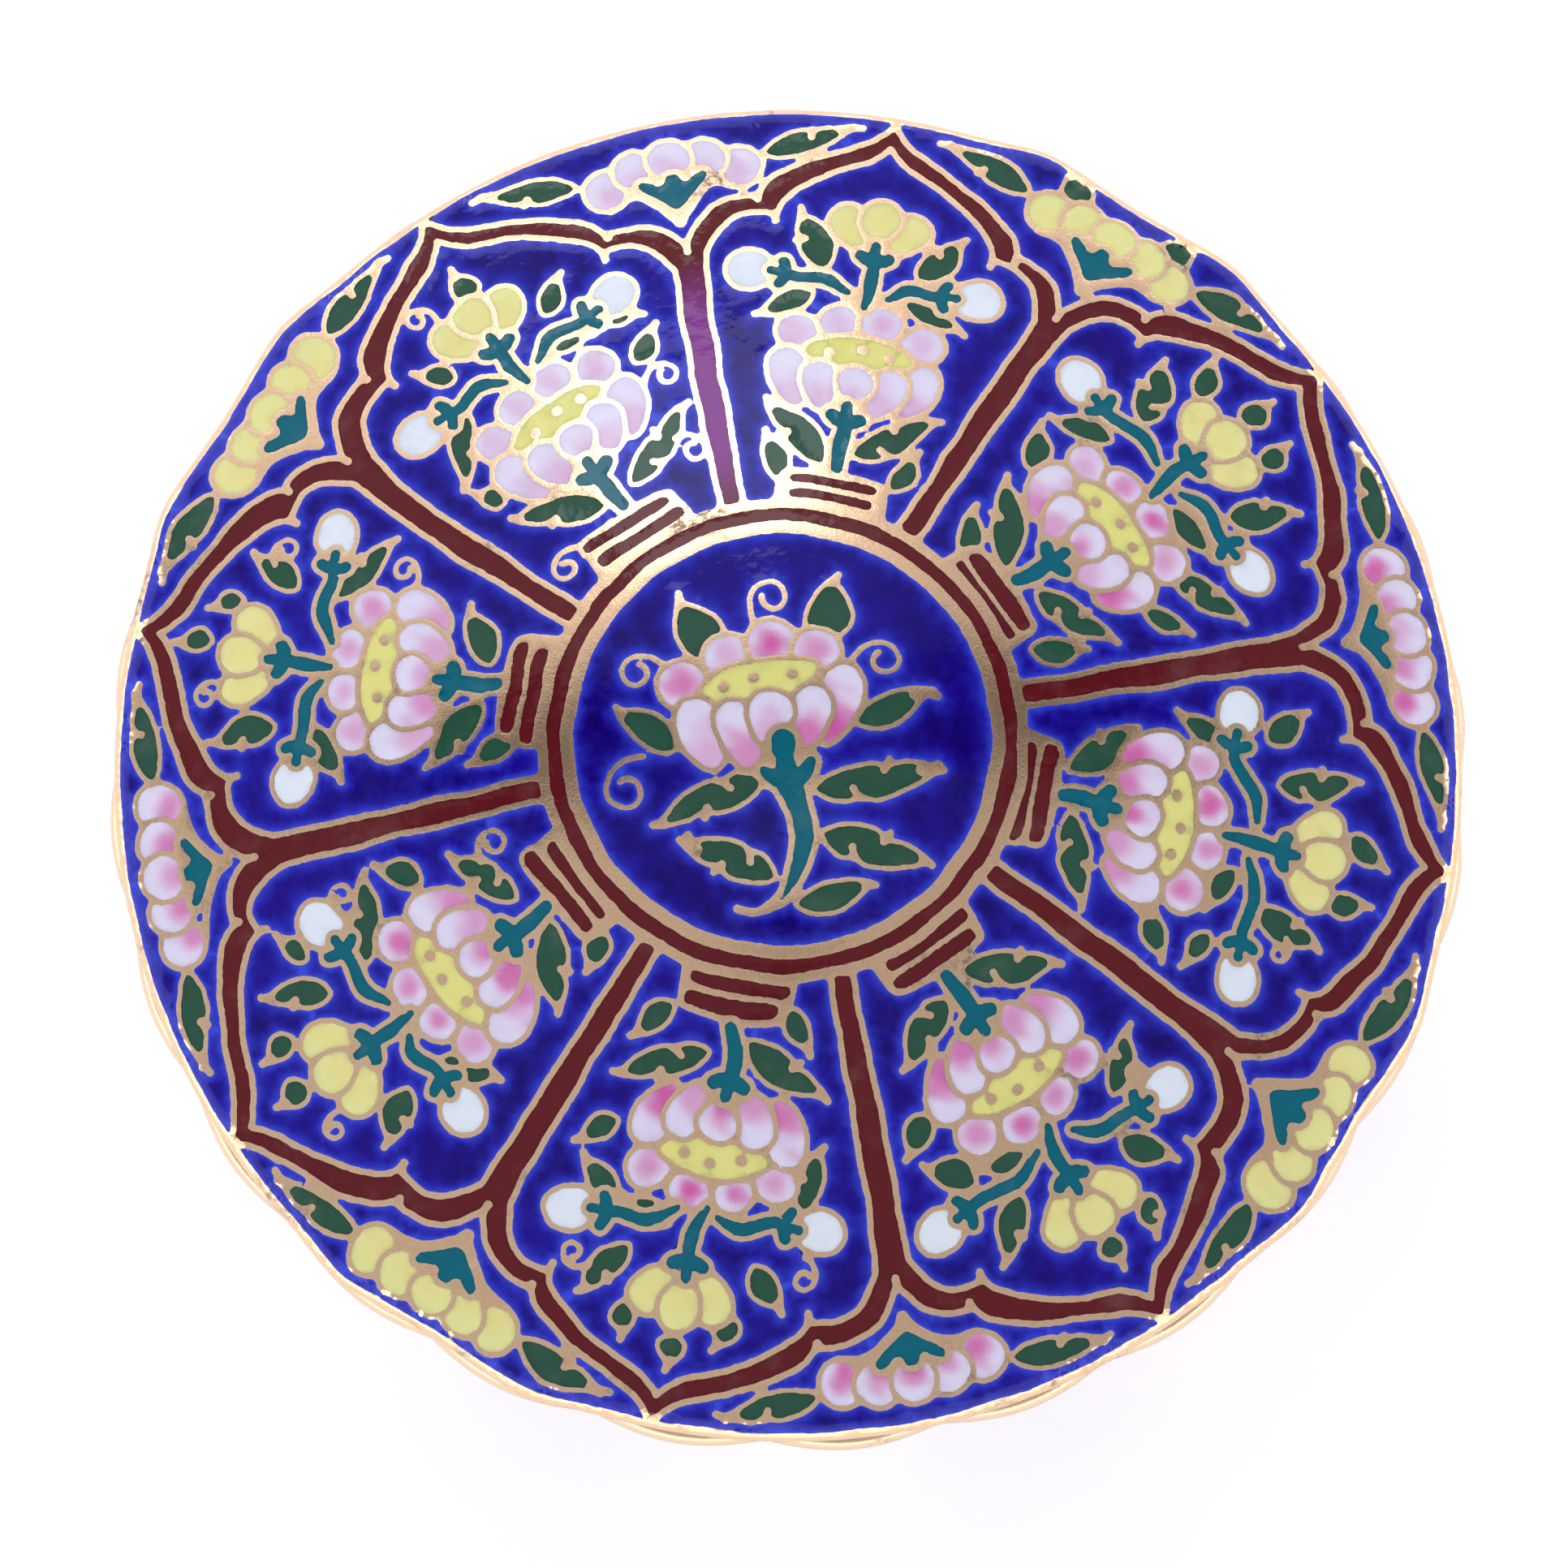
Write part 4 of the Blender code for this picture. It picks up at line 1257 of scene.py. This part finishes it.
colour_coat, tree, shader = coat("enamels")
parts = glaze_parts(tree, 0.14, 0.13, 0.8, 0.66)
tint = wire(tree, "ShaderNodeAttribute", attribute_name="tint").outputs["Color"]
place = object_place(tree)
darker = blend(tree, 1.0, tint, (0.70, 0.68, 0.72, 1.0), "MULTIPLY")
thick = between(tree, grain(tree, place, 620.0, 3.0, 0.55), 0.50, 0.85, 0.0, 0.30)
body = blend(tree, thick, tint, darker)
paler = blend(tree, 0.06, tint, (1.0, 1.0, 1.0, 1.0))
body = blend(tree, between(tree, parts["Cloud"], 0.52, 0.80, 0.0, 0.5), body, paler)
# Painted shadow: the enamels are darker in a thin band beside the raised gold line, as if it cast a
# shadow onto them.
painted_gold_shadow = blend(tree, 1.0, tint, (0.46, 0.44, 0.48, 1.0), "MULTIPLY")
body = blend(tree, times(tree, parts["Near"], 0.40), body, painted_gold_shadow)
body = blend(tree, parts["Hole"], body, (0.03, 0.02, 0.02, 1.0))
set_inputs(tree, shader, {
    "Base Color": body, "Normal": parts["Normal"], "Specular IOR Level": 0.24,
    "Roughness": between(tree, parts["Cloud"], 0.3, 0.7, 0.06, 0.10),
})

white_coat, tree, shader = coat("white_porcelain")
parts = glaze_parts(tree, 0.07, 0.5, 0.0, 0.64)
cloud = between(tree, parts["Cloud"], 0.3, 0.7)
body = blend(tree, cloud, (0.80, 0.82, 0.84, 1.0), (0.74, 0.765, 0.79, 1.0))
body = blend(tree, parts["Hole"], body, (0.20, 0.15, 0.11, 1.0))
set_inputs(tree, shader, {"Base Color": body, "Roughness": 0.09, "Normal": parts["Normal"]})

bare_coat, tree, shader = coat("bare_porcelain")
place = object_place(tree)
dust = grain(tree, place, 2600.0, 4.0, 0.7)
body = blend(tree, between(tree, dust, 0.35, 0.7), (0.70, 0.68, 0.64, 1.0), (0.56, 0.53, 0.48, 1.0))
stain = between(tree, grain(tree, place, 420.0, 3.0), 0.62, 0.75, 0.0, 0.5)
body = blend(tree, stain, body, (0.45, 0.33, 0.22, 1.0))
bump = wire(tree, "ShaderNodeBump", {"Strength": 0.4, "Distance": 0.0001, "Height": dust})
set_inputs(tree, shader, {"Base Color": body, "Roughness": 0.75, "Normal": bump.outputs["Normal"]})

COATS = (gold_coat, blue_coat, colour_coat, white_coat, bare_coat)

lid = solid_piece("porcelain_lid", lid_shell, *lid_paint, COATS)
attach(lid, "root")
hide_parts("lid")


# The base's decoration, painted as the lid's is but more plainly: the same eight petals stand upright
# round the bowl, with the lotus and a bud in each, and small sprays below the rim.

BASE_EDGE_BLUE = 51.5                 # where the cobalt ends at the gold rim
base_ground = Ground(REACH, MAROON)
base_tips = [45.0 * k for k in range(PETALS)]
base_forks = [tip - 22.5 for tip in base_tips]
base_cusps = [
    ((tip - 14.5, 44.3), (tip - 13.0, 42.7), (tip + 14.5, 44.3), (tip + 13.0, 42.7)) for tip in base_tips
]
base_radii = [BASE_EDGE_BLUE] * PETALS, [41.2] * PETALS
ogee_frames(base_ground, base_tips, base_radii[0], base_forks, base_radii[1], base_forks, base_cusps)
BASE_LEAVES = (
    ((-4.3, 39.0), (-6.2, 42.0), 1.9, 1), ((4.3, 39.0), (6.2, 42.0), 1.9, 1),
    ((-4.6, 36.0), (-7.6, 36.4), 1.3, 0), ((4.6, 36.0), (7.6, 36.4), 1.3, 0),
    ((-1.7, 23.2), (-5.7, 25.6), 1.9, 1), ((1.7, 23.2), (5.7, 25.6), 1.9, 1),
)
for k in range(PETALS):
    hand = Hand(base_ground, base_tips[k])
    for leaf in BASE_LEAVES:
        hand.leaf(*leaf)
    lotus_and_bud(hand, PINKS[(k + 3) % PETALS], (0.0, 30.6), (0.0, 42.5))
    border_spray(Hand(base_ground, base_forks[k]), PETAL if k % 2 else YELLOW, PINKS[k])
base_ground.gild(BASE_EDGE_BLUE, 41, MEDALLION_RINGS[3])


# The base: a thrown porcelain bowl on a turned foot ring, with a lobed, gilded rim and a flat ledge that
# the lid rests on. White glaze inside and underneath, and the ring it was fired on is bare.

BASE_RADIUS = 52.6
BODY_RADIUS = 49.6
MOUTH_RADIUS = 46.6
BASE_TOP = 38.0
RIM_FOOT = 36.0                       # where the bead of the rim ends and the wall starts
RIM_FLARE = 2.16                      # how far the wall turns out at its top
LOBES, LOBE_DEPTH = 24, 0.9
FOOT_RADIUS = 27.5
FOOT_TOP = 3.6
FOOT_RECESS = 2.6
FLOOR, FLOOR_RADIUS = 5.8, 24.5
MOUTH_FOOT = 32.0                     # where the straight mouth ends and the bowl starts
BASE_OUT = 51.8                       # the wall's top edge on the ground


def bowl(start, end, low, high, turn):
    """A quarter ellipse from a flat bottom to an upright wall: out by the sine of the turn, and up by 1
    less its cosine."""
    return start + (end - start) * np.sin(turn), low + (high - low) * (1.0 - np.cos(turn))


# The ground is wrapped round the wall without stretching shapes: going down by a length of wall of one
# radius divides the distance from the ground's middle by e.
wall_turn = np.linspace(math.pi / 2, 0.0, 700)
wall_radius, wall_height = bowl(FOOT_RADIUS, BODY_RADIUS, FOOT_TOP, RIM_FOOT, wall_turn)
wall_radius = wall_radius + RIM_FLARE * ((wall_height - FOOT_TOP) / (RIM_FOOT - FOOT_TOP)) ** 5
steps = np.hypot(np.diff(wall_radius), np.diff(wall_height))
shrink = np.concatenate([[0.0], np.cumsum(steps / ((wall_radius[1:] + wall_radius[:-1]) / 2))])
BASE_IN = BASE_OUT * math.exp(-shrink[-1])
wall_out, wall_up = -np.gradient(wall_height), np.gradient(wall_radius)
wall_length = np.hypot(wall_out, wall_up)


def base_wave(angle):
    """Round lobes that meet in cusps: the depth times the sine of half the lobes' angle, less 1."""
    return -LOBE_DEPTH * (1.0 - np.abs(np.sin(LOBES / 2 * angle)))


def base_surface(flat):
    """Places on the base's wall for points of its ground, and the direction away from it."""
    radius = np.hypot(*flat.T)
    down = np.log(BASE_OUT / radius)
    local, height, out, up = (
        np.interp(down, shrink, values)
        for values in (wall_radius, wall_height, wall_out / wall_length, wall_up / wall_length)
    )
    ray = flat / radius[:, None]
    away = np.concatenate([ray * out[:, None], up[:, None]], axis=-1)
    return np.concatenate([ray * local[:, None], height[:, None]], axis=-1) - away * SKIN_DROP, away


base_shell = Shell()
base_flat, base_faces = cut_out(base_ground, BASE_OUT, BASE_IN)
base_paint = painted(base_ground, base_shell, base_flat, base_faces, base_surface, turned_over=True)
rim, mouth = BASE_RADIUS - 0.10, MOUTH_RADIUS + SKIN
ledge, floor_height, recess = BASE_TOP - LEVEL_SKIN, FLOOR - LEVEL_SKIN, FOOT_RECESS + SKIN
inside = bowl(FLOOR_RADIUS, mouth, floor_height, MOUTH_FOOT, np.linspace(math.pi / 2, 0.0, 22))
base_shell.lathe(
    ring_on(base_flat, BASE_OUT),
    [
        (rim - 0.45, ledge - 1.83, GOLD), (rim - 0.14, ledge - 1.50, GOLD), (rim, ledge - 1.00, GOLD),
        (rim - 0.14, ledge - 0.50, GOLD), (rim - 0.45, ledge - 0.17, GOLD),
        (rim - 0.90, ledge - 0.02, GOLD), (rim - 1.90, ledge, GOLD),
        (rim - 2.70, ledge, PORCELAIN), (rim - 4.50, ledge, PORCELAIN),
        (mouth + 0.19, ledge, PORCELAIN), (mouth, ledge - 0.19, PORCELAIN),
        (mouth, ledge - 3.15, PORCELAIN),
    ]
    + [(radius, height, PORCELAIN) for radius, height in zip(*inside)]
    + [(radius, floor_height, PORCELAIN) for radius in (20.0, 15.0, 10.0, 5.0, 0.0)],
    turned_over=True,
)
base_shell.lathe(
    ring_on(base_flat, BASE_IN),
    [
        (FOOT_RADIUS - 0.14, 3.10, GOLD), (FOOT_RADIUS - 0.28, 2.30, PORCELAIN),
        (FOOT_RADIUS - 0.48, 0.70, PORCELAIN), (FOOT_RADIUS - 0.64, 0.28, PORCELAIN),
        (FOOT_RADIUS - 1.00, SKIN, BISCUIT), (FOOT_RADIUS - 2.70, SKIN, BISCUIT),
        (FOOT_RADIUS - 3.08, 0.30, BISCUIT), (FOOT_RADIUS - 3.55, recess - 0.14, PORCELAIN),
    ]
    + [(radius, recess, PORCELAIN) for radius in (23.4, 18.0, 12.0, 6.0, 0.0)],
)
for corners in base_shell.corners:
    scallop(corners, BODY_RADIUS, BASE_RADIUS, base_wave)
base = solid_piece("porcelain_base", base_shell, *base_paint, COATS)
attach(base, "root")
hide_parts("base")


# The stage: a white table under the box. Light comes from a low ring all round, as in a white tent that
# is open at the top, and from one soft lamp at the back left, whose mirror image lies in the glaze.

TABLE_HALF = 4.0                      # metres, as all lengths from here on
table = bpy.data.meshes.new("floor")
ends = ((-1, -1), (1, -1), (1, 1), (-1, 1))
corners = [(side * TABLE_HALF, end * TABLE_HALF, 0.0) for side, end in ends]
table.from_pydata(corners, [], [(0, 1, 2, 3)])
floor = bpy.data.objects.new("floor", table)
bpy.context.scene.collection.objects.link(floor)
floor_coat, tree, shader = coat("white_table")
set_inputs(tree, shader, {
    "Base Color": (0.93, 0.93, 0.93, 1.0), "Roughness": 0.9, "Specular IOR Level": 0.1,
    "Emission Color": (1.0, 1.0, 1.0, 1.0), "Emission Strength": 0.34,
})
floor.data.materials.append(floor_coat)

LAMP_WAY = (-0.155, 0.677, 0.719)     # directions from the box, here and below
CAMERA_IMAGE = (0.0, -0.31, 0.95)     # in which the glaze mirrors the camera
world = bpy.data.worlds.new("tent")
bpy.context.scene.world = world
world.use_nodes = True
tree = world.node_tree
way = tree.nodes.new("ShaderNodeTexCoord").outputs["Generated"]
axes = wire(tree, "ShaderNodeSeparateXYZ", {"Vector": way}).outputs
fold = reckon(tree, "SUBTRACT", grain(tree, way, 2.6, 2.0), 0.5)
up = reckon(tree, "ADD", axes["Z"], times(tree, fold, 0.16))
tent = between(tree, up, 0.40, 0.56, 1.55, 0.0)
tent = reckon(tree, "ADD", tent, between(tree, axes["X"], -0.7, 0.7, 0.56, 0.46))
to_lamp, to_top, to_camera = (
    wire(tree, "ShaderNodeVectorMath", {0: way, 1: other}, operation="DISTANCE").outputs["Value"]
    for other in (LAMP_WAY, (0.0, -0.06, 1.0), CAMERA_IMAGE)
)
tent = reckon(tree, "ADD", tent, between(tree, to_lamp, 0.25, 0.75, 0.40, 0.0))
tent = reckon(tree, "ADD", tent, between(tree, to_top, 0.06, 0.16, 0.35, 0.0))

# Dark things over the box: the gap between two cloths, which runs from side to side, and the camera.
aside = reckon(tree, "DIVIDE", axes["Y"], reckon(tree, "MAXIMUM", axes["Z"], 0.1))
aside = reckon(tree, "SUBTRACT", aside, times(tree, axes["X"], 0.11))
wide = reckon(tree, "ABSOLUTE", axes["X"])
gap = between(tree, aside, 0.03, 0.09)
for share in (
    between(tree, aside, 0.34, 0.42, 1.0, 0.0), between(tree, wide, 0.25, 0.42, 0.50, 1.0),
    between(tree, wide, 0.60, 0.70, 1.0, 0.0),
):
    gap = times(tree, gap, share)
dark = reckon(tree, "MAXIMUM", gap, between(tree, to_camera, 0.05, 0.10, 0.9, 0.0))
dark = times(tree, dark, between(tree, axes["Z"], 0.60, 0.75))
glow = times(tree, tent, reckon(tree, "SUBTRACT", 1.0, times(tree, dark, 0.96)))
background = tree.nodes["Background"]
background.inputs["Color"].default_value = (1.0, 1.0, 1.0, 1.0)
tree.links.new(glow, background.inputs["Strength"])

light = bpy.data.lights.new("soft_lamp", "AREA")
light.shape = "RECTANGLE"
light.size, light.size_y, light.energy = 0.54, 0.40, 1.9
lamp = bpy.data.objects.new("soft_lamp", light)
to_light = Vector(LAMP_WAY).normalized()
lamp.location = to_light * 1.2 + Vector((0.0, 0.0, 0.045))
lamp.rotation_euler = to_light.to_track_quat("Z", "Y").to_euler()
bpy.context.scene.collection.objects.link(lamp)

# The camera looks down from the front, at a point under the lid's crown.
CAMERA_AWAY, CAMERA_TILT, CAMERA_TURN = 0.75, math.radians(9.0), -0.015
camera_data = bpy.data.cameras.new("camera")
camera_data.sensor_width = 36.0
camera_data.lens = 223.9
camera_data.shift_x, camera_data.shift_y = -0.0028, -0.0111
camera_data.clip_end = 20.0
camera = bpy.data.objects.new("camera", camera_data)
level = math.sin(CAMERA_TILT)
toward = Vector((level * math.sin(CAMERA_TURN), -level * math.cos(CAMERA_TURN), math.cos(CAMERA_TILT)))
upward = (Vector((0.0, 1.0, 0.0)) - toward * toward.y).normalized()
turned = Matrix((upward.cross(toward), upward, toward)).transposed().to_4x4()
target = Vector((0.0, 0.0, 0.0405))
camera.matrix_world = Matrix.Translation(target + toward * CAMERA_AWAY) @ turned
bpy.context.scene.collection.objects.link(camera)
bpy.context.scene.camera = camera
bpy.context.scene.view_settings.view_transform = "Standard"
